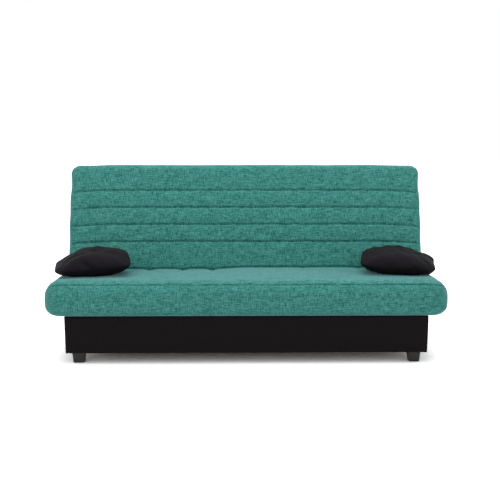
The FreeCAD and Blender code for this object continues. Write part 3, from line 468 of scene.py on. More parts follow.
class Finishes:
    """Builds each finish's material once and hands it out."""

    def __init__(self) -> None:
        """Builds the shared node groups."""
        self.weave = slub_weave_group()
        self.grain = grain_group()
        self.wear = wear_group()
        self.made: dict[str, bpy.types.Material] = {}

    def get(self, finish: Finish) -> bpy.types.Material:
        """Gives a finish's material.

        Args:
            finish: The finish wanted.

        Returns:
            Its material, built on the first call.
        """
        if finish.name not in self.made:
            self.made[finish.name] = self._build(finish)
        return self.made[finish.name]

    def _group(
        self, tree: Tree, group: bpy.types.NodeTree, inputs: Mapping[str, object]
    ) -> bpy.types.Node:
        """Places a shared group in a material with its own values."""
        node = tree.tree.nodes.new("ShaderNodeGroup")
        node.node_tree = group
        tree.feed(node, inputs)
        return node

    def _build(self, finish: Finish) -> bpy.types.Material:
        """Wires a finish's nodes into a new material."""
        material = bpy.data.materials.new(finish.name)
        material.use_nodes = True
        material.node_tree.nodes.clear()
        tree = Tree(material.node_tree)
        shader = tree.add("ShaderNodeBsdfPrincipled", {"Metallic": finish.metallic, "IOR": 1.5})
        tree.add("ShaderNodeOutputMaterial", {0: shader.outputs[0]})
        at = tree.add("ShaderNodeTexCoord").outputs[finish.place.value]
        wear = self._group(
            tree, self.wear, {"Vector": at, "Scuffs": finish.scuffs, "Dust": finish.dust}
        )
        if finish.family is Family.CLOTH:
            pattern = self._group(
                tree, self.weave,
                {
                    "Vector": at, "Yarn": finish.yarn, "Slub": finish.slub, "Girth": finish.girth,
                    "Contrast": finish.contrast,
                },
            )
            shade, height = pattern.outputs["Shade"], pattern.outputs["Height"]
            rough = tree.span(shade, 0.0, 1.0, finish.roughness + 0.05, finish.roughness - 0.05)
        elif finish.family is Family.WOOD:
            pattern = self._group(tree, self.grain, {"Vector": at})
            shade, height = pattern.outputs["Shade"], pattern.outputs["Height"]
            rough = tree.span(height, 0.3, 0.7, finish.roughness + 0.1, finish.roughness - 0.08)
        else:
            cloud = tree.noise(
                at, 60.0 if finish.family is Family.FELT else 12.0, Detail=5.0, Roughness=0.65
            )
            shade = tree.span(cloud, 0.3, 0.7)
            height = wear.outputs["Height"]
            rough = tree.span(cloud, 0.3, 0.7, finish.roughness - 0.06, finish.roughness + 0.08)
        colour = tree.mixed(shade, finish.dark, finish.light)
        if finish.family in (Family.METAL, Family.MOULDED):
            rubbed = tuple(min(1.0, part * 1.5 + 0.06) for part in finish.light[:3]) + (1.0,)
            colour = tree.mixed(wear.outputs["Scuff"], colour, rubbed)
            rough = tree.maths("ADD", rough, tree.maths("MULTIPLY", wear.outputs["Scuff"], 0.25))
        if finish.family is not Family.CLOTH:
            colour = tree.mixed(
                tree.maths("MULTIPLY", wear.outputs["Dust"], 0.25), colour, paint(150, 144, 136)
            )
        bump = tree.add(
            "ShaderNodeBump", {"Strength": finish.bump, "Distance": finish.depth, "Height": height}
        )
        for key, socket in (
            ("Base Color", colour), ("Roughness", rough), ("Normal", bump.outputs[0])
        ):
            tree.link(socket, shader.inputs[key])
        if finish.family in (Family.CLOTH, Family.FELT):
            shader.inputs["Specular IOR Level"].default_value = 0.12
        if finish.family is Family.MOULDED:
            shader.inputs["Specular IOR Level"].default_value = 0.35
        if finish.sheen:
            shader.inputs["Sheen Weight"].default_value = finish.sheen
            shader.inputs["Sheen Roughness"].default_value = 0.3
            shader.inputs["Sheen Tint"].default_value = finish.bloom
        return material


def mesh_object(
    name: str, points: np.ndarray, faces: Sequence[Sequence[int]],
    edges: Sequence[Sequence[int]] = (), smooth: bool = True,
) -> bpy.types.Object:
    """Makes an object at the origin from points and faces.

    Args:
        name: Name of the object and its mesh.
        points: Place of each vertex.
        faces: Vertex numbers of each face.
        edges: Vertex numbers of each loose edge.
        smooth: Whether faces are shaded smooth.

    Returns:
        The object, linked to the scene.
    """
    mesh = bpy.data.meshes.new(name)
    mesh.from_pydata(
        [tuple(map(float, p)) for p in points], [tuple(map(int, e)) for e in edges],
        [tuple(map(int, f)) for f in faces],
    )
    mesh.update()
    if faces is not None and len(faces):
        mesh.polygons.foreach_set("use_smooth", [smooth] * len(mesh.polygons))
    thing = bpy.data.objects.new(name, mesh)
    bpy.context.scene.collection.objects.link(thing)
    return thing


def face_outwards(thing: bpy.types.Object) -> None:
    """Turns a closed mesh's faces to point outwards."""
    form = bmesh.new()
    form.from_mesh(thing.data)
    bmesh.ops.recalc_face_normals(form, faces=form.faces)
    if form.calc_volume(signed=True) < 0:
        bmesh.ops.reverse_faces(form, faces=form.faces)
    form.to_mesh(thing.data)
    form.free()
    thing.data.update()


def baked(thing: bpy.types.Object, name: str) -> bpy.types.Object:
    """Turns an object with live modifiers into a plain named mesh object, and removes the first."""
    seen = thing.evaluated_get(bpy.context.evaluated_depsgraph_get())
    mesh = bpy.data.meshes.new_from_object(
        seen, preserve_all_data_layers=True, depsgraph=bpy.context.evaluated_depsgraph_get()
    )
    mesh.name = name
    bpy.data.objects.remove(thing)
    out = bpy.data.objects.new(name, mesh)
    bpy.context.scene.collection.objects.link(out)
    return out


class Along(Enum):
    """The two halves of the mattress."""

    SEAT = 0
    BACK = 1


def rounded(first: np.ndarray, second: np.ndarray, radius: float | np.ndarray) -> np.ndarray:
    """Joins two outside distances where their faces meet in a rounded edge."""
    reach = np.hypot(np.maximum(first + radius, 0), np.maximum(second + radius, 0))
    return np.minimum(np.maximum(first, second), -radius) + reach


@dataclass
class Half:
    """One half of the mattress, measured from the crease: run along its face and depth into it."""

    length: float
    half_width: float
    end_round: float
    front_round: float
    base_round: float
    corner: float
    run_way: np.ndarray
    depth_way: np.ndarray

    def outside(
        self, points: np.ndarray, crease: np.ndarray, thick: float, wall: float
    ) -> np.ndarray:
        """Measures how far points are outside this half.

        Args:
            points: Places in the part's frame.
            crease: The crease's Y and Z.
            thick: Thickness of the half.
            wall: How far the half reaches behind the crease.

        Returns:
            The distances, negative inside.
        """
        run = (points[:, 1:] - crease) @ self.run_way
        depth = (points[:, 1:] - crease) @ self.depth_way
        side = rounded(np.abs(points[:, 0]) - self.half_width, run - self.length, self.corner)
        endness = ease(self.half_width - 0.30, self.half_width - 0.08, np.abs(points[:, 0]))
        upper = self.front_round + (self.end_round - self.front_round) * endness
        body = rounded(side, -depth, upper)
        body = rounded(body, depth - thick, self.base_round)
        return np.maximum(body, -(run + wall))


@dataclass
class Mattress:
    """The padded mattress: a seat half and a back half that fold at the crease."""

    tilt: float = 17.2
    hinge_depth: float = 0.085
    seat_length: float = 0.590
    back_length: float = 0.569
    lining_depth: float = 0.122
    lining_half: float = 0.9105
    hem: float = 0.042
    hinge_hem: float = 0.012
    bend_half: float = 0.060
    seams: tuple[float, ...] = (0.131, 0.226, 0.321, 0.416)
    front_seam: float = 0.577
    seam_dent: float = 0.0086
    seam_reach: float = 0.0108
    seam_droop: float = 0.011
    crease_dent: float = 0.0085
    crease_sag: float = 0.0095
    puckers: tuple[tuple[float, float], ...] = (
        (-0.516, 0.8), (-0.335, 0.9), (-0.178, 1.0), (0.31, 0.3), (0.60, 0.4)
    )
    seam_waver: float = 0.0012
    front_dent: float = 0.0075
    front_reach: float = 0.013
    crown: float = 0.0022
    back_wave: float = 0.0011
    seat_wave: float = 0.0013
    edge_wave: float = 0.0007
    end_wave: float = 0.0018
    end_belly: float = 0.006
    end_plump: float = 0.003
    seat_tuck: tuple[float, float] = (0.007, 0.20)
    back_tuck: tuple[float, float] = (0.0052, 0.055)
    pucker_fan: tuple[float, float] = (0.007, 0.011)
    pucker_dip: tuple[float, float] = (0.006, 0.030)
    layers: int = 16
    rows: list[tuple[Along, float, float, float]] = field(default_factory=list)

    def __post_init__(self) -> None:
        """Reads the mattress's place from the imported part."""
        seat_low, seat_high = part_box("mattress_seat_half")
        _, back_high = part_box("mattress_back_half")
        angle = math.radians(self.tilt)
        self.crease = np.array([seat_low.y + self.seat_length, seat_high.z])
        self.wall = seat_high.y - self.crease[0]
        self.thick = seat_high.z - seat_low.z
        up = np.array([math.sin(angle), math.cos(angle)])
        into = np.array([math.cos(angle), -math.sin(angle)])
        self.seat = Half(
            self.seat_length, seat_high.x + 0.002, end_round=0.073, front_round=0.070,
            base_round=0.047, corner=0.085,
            run_way=np.array([-1.0, 0.0]), depth_way=np.array([0.0, -1.0]),
        )
        self.back = Half(
            self.back_length, back_high.x + 0.003, end_round=0.040, front_round=0.038,
            base_round=0.038, corner=0.055, run_way=up, depth_way=into,
        )
        across = self.back.run_way - self.seat.run_way
        self.fold_way = across / np.linalg.norm(across)

    def half(self, which: Along) -> Half:
        """Gives one half of the mattress."""
        return self.seat if which is Along.SEAT else self.back

    def section(self) -> list[tuple[Along, float, float, float]]:
        """Lists the closed section's rows as half, run, depth and distance along the cloth."""
        seat_top = graded(
            0.0, self.seat_length, [
                0.0, self.front_seam, self.seat_length
            ], fine=0.0030, coarse=0.013
        )
        back_top = graded(
            0.0, self.back_length, [0.0, *self.seams, self.back_length], fine=0.0026, coarse=0.013
        )
        drop = self.thick - self.hinge_depth
        edge = 0.0006

        def under(length: float, count: int) -> list[tuple[float, float]]:
            """Lists run and depth from the hinge down the end wall and out along the underside."""
            lip, hem = self.hinge_hem - self.wall, length - self.hem
            flat = graded(
                -self.wall, length, [
                    lip - edge, lip + edge, hem - edge, hem + edge, length
                ], fine=0.004,
                coarse=0.03,
            )
            wall = graded(0.0, drop, [], fine=0.01, coarse=0.012)
            flat = filled(flat, count - len(wall) + 1)
            return [(-self.wall, self.hinge_depth + step) for step in wall] + [
                (run, self.thick) for run in flat[1:]
            ]

        seat_base, back_base = under(self.seat_length, len(seat_top)), under(
            self.back_length, len(back_top)
        )
        top = [(Along.SEAT, run, 0.0) for run in reversed(seat_top)] + [
            (Along.BACK, run, 0.0) for run in back_top[1:]
        ]
        base = [(Along.SEAT, *pair) for pair in reversed(seat_base)] + [
            (Along.BACK, *pair) for pair in back_base[1:]
        ]
        self.top, self.base = top, base
        steps = [self.thick * k / self.layers for k in range(1, self.layers)]
        rows = [*top, *[(Along.BACK, self.back_length, d) for d in steps], *reversed(base)]
        rows += [(Along.SEAT, self.seat_length, d) for d in reversed(steps)]
        places = [self.place(*row) for row in rows]
        travel, out = 0.0, []
        for index, row in enumerate(rows):
            travel += float(np.linalg.norm(places[index] - places[index - 1])) if index else 0.0
            out.append((*row, travel))
        return out

    def place(self, which: Along, run: float, depth: float) -> np.ndarray:
        """Gives the Y and Z of a point of a half."""
        half = self.half(which)
        return self.crease + run * half.run_way + depth * half.depth_way

    def width_at(self, which: Along, run: float) -> float:
        """Gives the half width at a run, eased from one half's to the other's at the crease."""
        share = float(ease(-0.06, 0.06, np.array(run if which is Along.BACK else -run)))
        return self.seat.half_width + (self.back.half_width - self.seat.half_width) * share

    def settle(self, points: np.ndarray) -> np.ndarray:
        """Brings points onto the rounded surface of both halves together."""
        def outside(at: np.ndarray) -> np.ndarray:
            """Measures how far points are outside the mattress."""
            seat = self.seat.outside(at, self.crease, self.thick, self.wall)
            back = self.back.outside(at, self.crease, self.thick, self.wall)
            return np.minimum(seat, back)

        step = 1e-4
        for _ in range(14):
            here = outside(points)
            slope = np.stack(
                [(outside(points + step * axis) - here) / step for axis in np.eye(3)], axis=1
            )
            size = np.maximum(np.linalg.norm(slope, axis=1), 0.5)
            points = points - 0.85 * (here / size**2)[:, None] * slope
        return points

    def build(self, finishes: Finishes) -> bpy.types.Object:
        """Makes the mattress.

        Args:
            finishes: The finishes to dress it with.

        Returns:
            The padded piece, blended across the crease.
        """
        self.rows = self.section()
        widest = self.seat.half_width
        columns = graded(
            0.0, widest, [
                self.lining_half - 0.0006, self.lining_half + 0.0006, widest
            ], fine=0.0045,
            coarse=0.0088,
        )
        self.columns = np.array([-c for c in reversed(columns[1:])] + columns)
        count, wide, spans = len(self.rows), len(self.columns), len(self.top) - 1
        grid = np.zeros((count, wide, 3))
        for i, (which, run, depth, _) in enumerate(self.rows):
            reach = self.width_at(which, run)
            spread = np.maximum(np.abs(self.columns) - self.lining_half, 0) * (
                reach - self.lining_half
            ) / (widest - self.lining_half)
            grid[i, :, 0] = np.sign(self.columns) * (
                np.minimum(np.abs(self.columns), self.lining_half) + spread
            )
            grid[i, :, 1:] = self.place(which, run, depth)
        faces, corners, linings, ends = [], [], [], []
        for i in range(count):
            after, which = (i + 1) % count, self.rows[i][0]
            v0 = self.rows[i][3]
            v1 = self.rows[after][3] if after else v0 + self.thick / self.layers
            lined = self.in_lining(i) and self.in_lining(after)
            for j in range(wide - 1):
                faces.append(
                    (i * wide + j, i * wide + j + 1, after * wide + j + 1, after * wide + j)
                )
                u0, u1 = self.columns[j], self.columns[j + 1]
                corners += [(u0, v0), (u1, v0), (u1, v1), (u0, v1)]
                linings.append(int(lined and max(abs(u0), abs(u1)) < self.lining_half + 0.0001))
        points = [grid.reshape(-1, 3)]
        total = count * wide
        for side, column in ((-1, 0), (1, wide - 1)):
            number = np.zeros((spans + 1, self.layers + 1), int)
            extra = []
            for j in range(spans + 1):
                high, low = grid[j, column], grid[spans + self.layers + (spans - j), column]
                for k in range(self.layers + 1):
                    if k == 0:
                        number[j, k] = j * wide + column
                    elif k == self.layers:
                        number[j, k] = (spans + self.layers + (spans - j)) * wide + column
                    elif j == spans:
                        number[j, k] = (spans + k) * wide + column
                    elif j == 0:
                        number[j, k] = (2 * spans + self.layers + (self.layers - k)) * wide + column
                    else:
                        number[j, k] = total + len(extra)
                        extra.append(high + (low - high) * k / self.layers)
            total += len(extra)
            points.append(np.array(extra))
            for j in range(spans):
                for k in range(self.layers):
                    faces.append(
                        (number[j, k], number[j + 1, k], number[j + 1, k + 1], number[j, k + 1])
                    )
                    ends.append((side, self.rows[j + 1][0]))
                    linings.append(0)
        flat = self.settle(np.concatenate(points))
        for (side, which), face in zip(ends, faces[-len(ends):]):
            half = self.half(which)
            away = flat[list(face), 1:] - self.crease
            corners += [
                (side * (widest + d), r) for d, r in zip(away @ half.depth_way, away @ half.run_way)
            ]
        thing = mesh_object("mattress", flat, faces)
        layer = thing.data.uv_layers.new(name="cloth")
        layer.data.foreach_set("uv", np.array(corners, np.float32).ravel())
        thing.data.polygons.foreach_set("material_index", linings)
        face_outwards(thing)
        self.sculpt(thing, count, wide)
        thing.data.materials.append(finishes.get(MATTRESS))
        thing.data.materials.append(finishes.get(LINING))
        return thing

    def in_lining(self, index: int) -> bool:
        """Says whether a row is inside the recess for the frame."""
        which, run, depth, _ = self.rows[index]
        low, high = self.hinge_hem - self.wall, self.half(which).length - self.hem
        return depth >= self.thick - 1e-6 and low < run < high

    def sculpt(self, thing: bpy.types.Object, count: int, wide: int) -> None:
        """Sews the seams, tucks the crease, sinks the recess and puckers the cloth.

        Args:
            thing: The mattress on its smooth form.
            count: Number of rows round the section.
            wide: Number of columns.
        """
        mesh = thing.data
        points = np.zeros(len(mesh.vertices) * 3)
        normals = np.zeros(len(mesh.vertices) * 3)
        mesh.vertices.foreach_get("co", points)
        mesh.vertex_normals.foreach_get("vector", normals)
        points, normals = points.reshape(-1, 3), normals.reshape(-1, 3)
        grid, ways = points[: count * wide].reshape(count, wide, 3), normals[
            : count * wide
        ].reshape(count, wide, 3)
        x = self.columns
        lift = np.zeros((count, wide))
        spans = len(self.top) - 1
        droop = self.seam_droop * ease(0.70, 0.95, np.abs(x)) ** 1.5
        (fan_deep, fan_wide), (dip_deep, dip_wide) = self.pucker_fan, self.pucker_dip
        for i in range(spans + 1):
            which, run, _, travel = self.rows[i]
            if which is Along.BACK or run == 0:
                for number, seam in enumerate(self.seams):
                    waver = self.seam_waver * ripple(
                        x, np.zeros_like(x), length=0.055, seed=40 + number
                    )
                    away = np.abs(run - (seam - droop + waver))
                    dent = self.seam_dent * (
                        1 + 0.22 * ripple(x, np.zeros_like(x), length=0.030, seed=60 + number)
                    )
                    lift[i] -= dent * np.clip(1 - away / self.seam_reach, 0, 1) ** 1.7
                levels = [-0.02, *self.seams, self.back_length + 0.06]
                low = max(level for level in levels if level <= run)
                high = min(level for level in levels if level > run)
                middle = (run - (low + high) / 2) / ((high - low) / 2)
                lift[i] += self.crown * (1 - middle**2)
                calm = ease(0.02, 0.08, np.array(run)) * (1 - 0.8 * ease(0.48, 0.54, np.array(run)))
                lift[i] += self.back_wave * ripple(
                    x, np.full_like(x, travel), length=0.070, seed=5
                ) * calm
            else:
                waver = self.seam_waver * ripple(x, np.zeros_like(x), length=0.07, seed=51)
                away = np.abs(run - (self.front_seam + waver))
                dent = self.front_dent * (
                    1 + 0.25 * ripple(x, np.zeros_like(x), length=0.032, seed=71)
                )
                lift[i] -= dent * np.clip(1 - away / self.front_reach, 0, 1) ** 1.7
                lift[i] += self.seat_wave * ripple(
                    x, np.full_like(x, travel), length=0.16, seed=6
                ) * ease(
                    0.0, 0.08, np.array(run)
                )
            near, far = self.seat_tuck if which is Along.SEAT else self.back_tuck
            slack = 1 + 0.75 * (1 - ease(-0.16, 0.0, x)) * ease(-0.90, -0.70, x)
            fan = self.gathers(x, fan_wide)
            lift[i] -= self.crease_dent * math.exp(
                -((run / near) ** 2)
            ) + fan_deep * fan * math.exp(-((run / (near * 4)) ** 2))
            dips = self.gathers(x, dip_wide)
            sunk = self.crease_sag * slack * math.exp(
                -((run / far) ** 2)
            ) + dip_deep * dips * math.exp(-((run / (far / 2)) ** 2))
            grid[i, :, 1:] -= sunk[:, None] * (
                self.back.run_way if which is Along.BACK or run == 0 else np.array([0.0, 1.0])
            )
        for i in range(spans + 1, count):
            which, run, depth, travel = self.rows[i]
            if depth < self.thick - 1e-6 and abs(run + self.wall) > 1e-6:
                lift[i] = self.edge_wave * ripple(x, np.full_like(x, travel), length=0.20, seed=8)
            if which is Along.BACK and run > self.back_length - 0.04:
                lift[i] -= 0.005 * ease(0.72, 0.93, np.abs(x)) * float(
                    ease(self.back_length - 0.04, self.back_length, np.array(run))
                )
        fade = 1 - ease(self.back.half_width - 0.02, self.seat.half_width, np.abs(x))[None, :] * 0.6
        grid += ways * (lift * fade)[:, :, None]
        caps = points[count * wide :]
        belly = self.end_belly * np.clip(
            1 - ((caps[:, 2] - self.crease[1] + 0.085) / 0.080) ** 2, 0, 1
        )
        away = caps[:, 1:] - self.crease
        forward, into, up = (
            away @ self.seat.run_way, away @ self.back.depth_way, away @ self.back.run_way
        )
        belly *= ease(0.0, 0.12, forward) * ease(0.0, 0.10, self.seat_length - forward)
        plump = self.end_plump * np.clip(1 - ((into - 0.08) / 0.075) ** 2, 0, 1)
        belly += plump * ease(0.08, 0.20, away[:, 1]) * ease(0.0, 0.10, self.back_length - up)
        caps += normals[count * wide :] * (
            belly + self.end_wave * ripple(caps[:, 1], caps[:, 2], length=0.13, seed=9)
        )[:, None]
        for i in range(count):
            if self.in_lining(i):
                inner = np.abs(x) < self.lining_half
                grid[i, inner, 1:] -= (self.thick - self.lining_depth) * self.half(
                    self.rows[i][0]
                ).depth_way
        points[: count * wide] = grid.reshape(-1, 3)
        mesh.vertices.foreach_set("co", points.ravel())
        mesh.update()
        self.grid = grid

    def gathers(self, x: np.ndarray, width: float) -> np.ndarray:
        """Gives how strongly the puckers gather the cloth at each x, each spread over a width."""
        return sum(size * np.exp(-(((x - at) / width) ** 2)) for at, size in self.puckers)

    def seam_lines(self) -> dict[str, list[np.ndarray]]:
        """Gives the path of each seam's bottom, by the body that carries it."""
        lines: dict[str, list[np.ndarray]] = {"seat": [], "back": []}
        for body, which, runs in (
            ("seat", Along.SEAT, (self.front_seam,)), ("back", Along.BACK, self.seams)
        ):
            rows = [i for i, row in enumerate(self.rows[: len(self.top)]) if row[0] is which]
            for number, seam in enumerate(runs):
                path = []
                for j, x in enumerate(self.columns):
                    if abs(x) > self.back.half_width - 0.006:
                        continue
                    droop = self.seam_droop * float(
                        ease(0.70, 0.95, np.array(abs(x)))
                    ) ** 1.5 if body == "back" else 0.0
                    seed = 40 + number if body == "back" else 51
                    wave = 0.055 if body == "back" else 0.07
                    target = seam - droop + self.seam_waver * float(
                        ripple(np.array([x]), np.zeros(1), length=wave, seed=seed)[0]
                    )
                    near = sorted(rows, key=lambda i: abs(self.rows[i][1] - target))[:2]
                    gaps = [abs(self.rows[i][1] - target) + 1e-9 for i in near]
                    share = gaps[0] / (gaps[0] + gaps[1])
                    path.append(self.grid[near[0], j] * (1 - share) + self.grid[near[1], j] * share)
                lines[body].append(np.array(path))
        return lines

    def join(self, thing: bpy.types.Object) -> None:
        """Hides the imported mattress halves and bakes the mattress's placement into its mesh."""
        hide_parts("mattress_seat_half", "mattress_back_half")
        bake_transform(thing)


FILLING_STEPS = 26
FILLING: dict[str, object] = {
    "use_pressure": True,
    "uniform_pressure_force": 9.0,
    "quality": 6,
    "mass": 0.25,
    "tension_stiffness": 22.0,
    "compression_stiffness": 18.0,
    "shear_stiffness": 6.0,
    "bending_stiffness": 0.12,
    "air_damping": 3.0,
}


@dataclass
class Pillow:
    """A loose knife-edged pillow that lies on the seat."""

    node: str
    body: str
    yaw: float
    roll: float
    pitch: float
    seed: int
    side: float = 0.372
    thick: float = 0.113
    taper: float = 0.2
    sink: float = 0.004
    cells: int = 44
    rubs: int = 5
    half_slip: float = 0.205
    slip_rise: float = 0.022
    quick_rise: float = 2.4
    squareness: float = 7.5
    wrinkle: float = 0.0022
    wrinkle_length: float = 0.085
    pressed: float = 0.014
    pressed_share: float = 0.12
    taper_base: float = 0.022

    def centre(self) -> Vector:
        """Gives the middle of the pillow's place on the seat."""
        low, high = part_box(self.node)
        return Vector(((low.x + high.x) / 2, (low.y + high.y) / 2, low.z))

    def slip(self) -> bpy.types.Object:
        """Makes two square sheets joined at their edges, slightly apart in the middle."""
        n = self.cells
        axis = np.linspace(-1, 1, n + 1)
        a, b = np.meshgrid(axis, axis, indexing="ij")
        rise = self.slip_rise * np.sqrt(np.clip((1 - a**2) * (1 - b**2), 0, 1))
        rise = rise * (1 + 0.18 * ripple(a, b, length=0.55, seed=self.seed))
        number, points, faces = {}, [], []
        for sheet, sign in ((0, 1), (1, -1)):
            for i in range(n + 1):
                for j in range(n + 1):
                    edge = i in (0, n) or j in (0, n)
                    if edge and sheet:
                        number[sheet, i, j] = number[0, i, j]
                        continue
                    number[sheet, i, j] = len(points)
                    points.append(
                        (
                            a[i, j] * self.half_slip, b[i, j] * self.half_slip,
                            0.0 if edge else sign * rise[i, j],
                        )
                    )
            for i in range(n):
                for j in range(n):
                    quad = [
                        number[sheet, i, j], number[sheet, i + 1, j], number[sheet, i + 1, j + 1],
                        number[sheet, i, j + 1],
                    ]
                    faces.append(quad if sheet == 0 else quad[::-1])
        slip = mesh_object(self.node + "_slip", np.array(points), faces)
        layer = slip.data.uv_layers.new(name="cloth")
        spread = np.array([points[loop.vertex_index][:2] for loop in slip.data.loops], np.float32)
        layer.data.foreach_set("uv", spread.ravel())
        return slip

    def inflated(self) -> bpy.types.Object:
        """Fills the slip by a short cloth simulation and gives it as a plain mesh."""
        slip = self.slip()
        cloth = slip.modifiers.new("fill", "CLOTH")
        cloth.settings.effector_weights.gravity = 0.0
        for setting, value in FILLING.items():
            setattr(cloth.settings, setting, value)
        cloth.point_cache.frame_start, cloth.point_cache.frame_end = 1, FILLING_STEPS
        scene = bpy.context.scene
        for step in range(1, FILLING_STEPS + 1):
            scene.frame_set(step)
        out = baked(slip, self.node + "_filled")
        scene.frame_set(1)
        return out

    def build(self, finishes: Finishes) -> list[bpy.types.Object]:
        """Makes the pillow and the stitches of its edge seam.

        Args:
            finishes: The finishes to dress it with.

        Returns:
            The pillow and its stitches.
        """
        slip = self.inflated()
        rim = self.rim_numbers()
        points = self.softened(slip)
        low, high = points.min(0), points.max(0)
        points = (points - (low + high) / 2) / (high - low) * np.array(
            [self.side, self.side, self.thick]
        )
        points = self.filled_out(points, rim)
        from_rim = np.maximum(np.abs(points[:, 0]), np.abs(points[:, 1])) / (self.side / 2)
        fade = ease(1.0, 0.55, from_rim) + 0.25
        points[:, 2] += self.wrinkle * fade * ripple(
            points[:, 0], points[:, 1], length=self.wrinkle_length, seed=self.seed + 3
        ) * np.sign(points[:, 2])
        turn = np.array(
            Euler(
                (math.radians(self.pitch), math.radians(self.roll), math.radians(self.yaw))
            ).to_matrix()
        )
        points = points @ turn.T
        floor = points[:, 2].min() + self.pressed
        points[:, 2] = np.where(
            points[:, 2] < floor, floor - (floor - points[:, 2]) * self.pressed_share, points[:, 2]
        )
        centre = self.centre()
        outwards = ease(0.3, 1.0, points[:, 0] * math.copysign(2 / self.side, centre.x))
        base = points[:, 2].min() + self.taper_base
        points[:, 2] -= self.taper * outwards * np.clip(points[:, 2] - base, 0, None)
        points += np.array([centre.x, centre.y, centre.z - self.sink - points[:, 2].min()])
        slip.data.vertices.foreach_set("co", points.ravel())
        slip.data.update()
        edge = [points[i] for i in rim]
        smooth = slip.modifiers.new("smooth", "SUBSURF")
        smooth.levels = smooth.render_levels = 1
        pillow = baked(slip, self.node + "_cushion")
        face_outwards(pillow)
        pillow.data.polygons.foreach_set("use_smooth", [True] * len(pillow.data.polygons))
        pillow.data.materials.clear()
        pillow.data.materials.append(finishes.get(PILLOW))
        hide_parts(self.node)
        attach(pillow, self.body)
        seam = stitched(
            [np.array([*edge, edge[0]])], self.node + "_stitches", finishes.get(DARK_THREAD),
            pitch=0.006, length=0.0045, girth=0.0006,
        )
        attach(seam, self.body)
        return [pillow, seam]

    def softened(self, slip: bpy.types.Object) -> np.ndarray:
        """Rubs out the sharpest buckles of the filled slip.

        Args:
            slip: The filled slip.

        Returns:
            Its points after a few rounds of averaging with their neighbours.
        """
        points = np.array([v.co for v in slip.data.vertices], float)
        ends = np.array([edge.vertices[:] for edge in slip.data.edges])
        count = np.bincount(ends.ravel(), minlength=len(points))[:, None]
        for _ in range(self.rubs):
            total = np.zeros_like(points)
            np.add.at(total, ends[:, 0], points[ends[:, 1]])
            np.add.at(total, ends[:, 1], points[ends[:, 0]])
            points = 0.5 * (points + total / count)
        return points

    def filled_out(self, points: np.ndarray, rim: Sequence[int]) -> np.ndarray:
        """Brings the simulated outline to a full square with rounded corners.

        Args:
            points: The pillow's points round its own middle.
            rim: Vertex numbers round the edge seam.

        Returns:
            The points, fuller towards the edge seam.
        """
        angle = np.arctan2(points[:, 1], points[:, 0])
        reach = np.hypot(points[:, 0], points[:, 1])
        edge = np.array(rim)
        order = edge[np.argsort(angle[edge])]
        seam = np.interp(angle, angle[order], reach[order], period=math.tau)
        power = self.squareness
        square = (np.abs(np.cos(angle)) ** power + np.abs(np.sin(angle)) ** power) ** (
            -1 / power
        ) * self.side / 2
        share = np.clip(reach / np.maximum(seam, 1e-6), 0, 1)
        out = points.copy()
        out[:, :2] *= (1 + (square / np.maximum(seam, 1e-6) - 1) * share**1.5)[:, None]
        out[:, 2] *= 1 + 0.45 * share**2 * (1 - share**8)
        return out

    def rim_numbers(self) -> list[int]:
        """Lists the slip's edge vertices in order round the edge."""
        n = self.cells
        first = [(i, 0) for i in range(n)] + [(n, j) for j in range(n)]
        path = first + [(i, n) for i in range(n, 0, -1)] + [(0, j) for j in range(n, 0, -1)]
        return [i * (n + 1) + j for i, j in path]


def geometry_tree(
    name: str, inputs: Sequence[tuple[str, str]]
) -> tuple[Tree, bpy.types.Node, bpy.types.Node, dict[str, str]]:
    """Starts a geometry node tree with named inputs.

    Args:
        name: Name of the tree.
        inputs: Name and socket type of each input after the geometry.

    Returns:
        The tree, its group input and output, and the identifier of each named input.
    """
    group = bpy.data.node_groups.new(name, "GeometryNodeTree")
    group.interface.new_socket(name="Geometry", in_out="INPUT", socket_type="NodeSocketGeometry")
    group.interface.new_socket(name="Geometry", in_out="OUTPUT", socket_type="NodeSocketGeometry")
    names = {
        label: group.interface.new_socket(name=label, in_out="INPUT", socket_type=kind).identifier
        for label, kind in inputs
    }
    tree = Tree(group)
    return tree, tree.add("NodeGroupInput"), tree.add("NodeGroupOutput"), names


def finish_tree(
    tree: Tree, start: bpy.types.Node, end: bpy.types.Node, shape: bpy.types.NodeSocket
) -> None:
    """Ends a geometry tree in smooth shading, real instances and the material."""
    smooth = tree.add("GeometryNodeSetShadeSmooth", {"Geometry": shape})
    real = tree.add("GeometryNodeRealizeInstances", {"Geometry": smooth.outputs[0]})
    dressed = tree.add(
        "GeometryNodeSetMaterial",
        {"Geometry": real.outputs[0], "Material": start.outputs["Material"]},
    )
    tree.link(dressed.outputs[0], end.inputs[0])


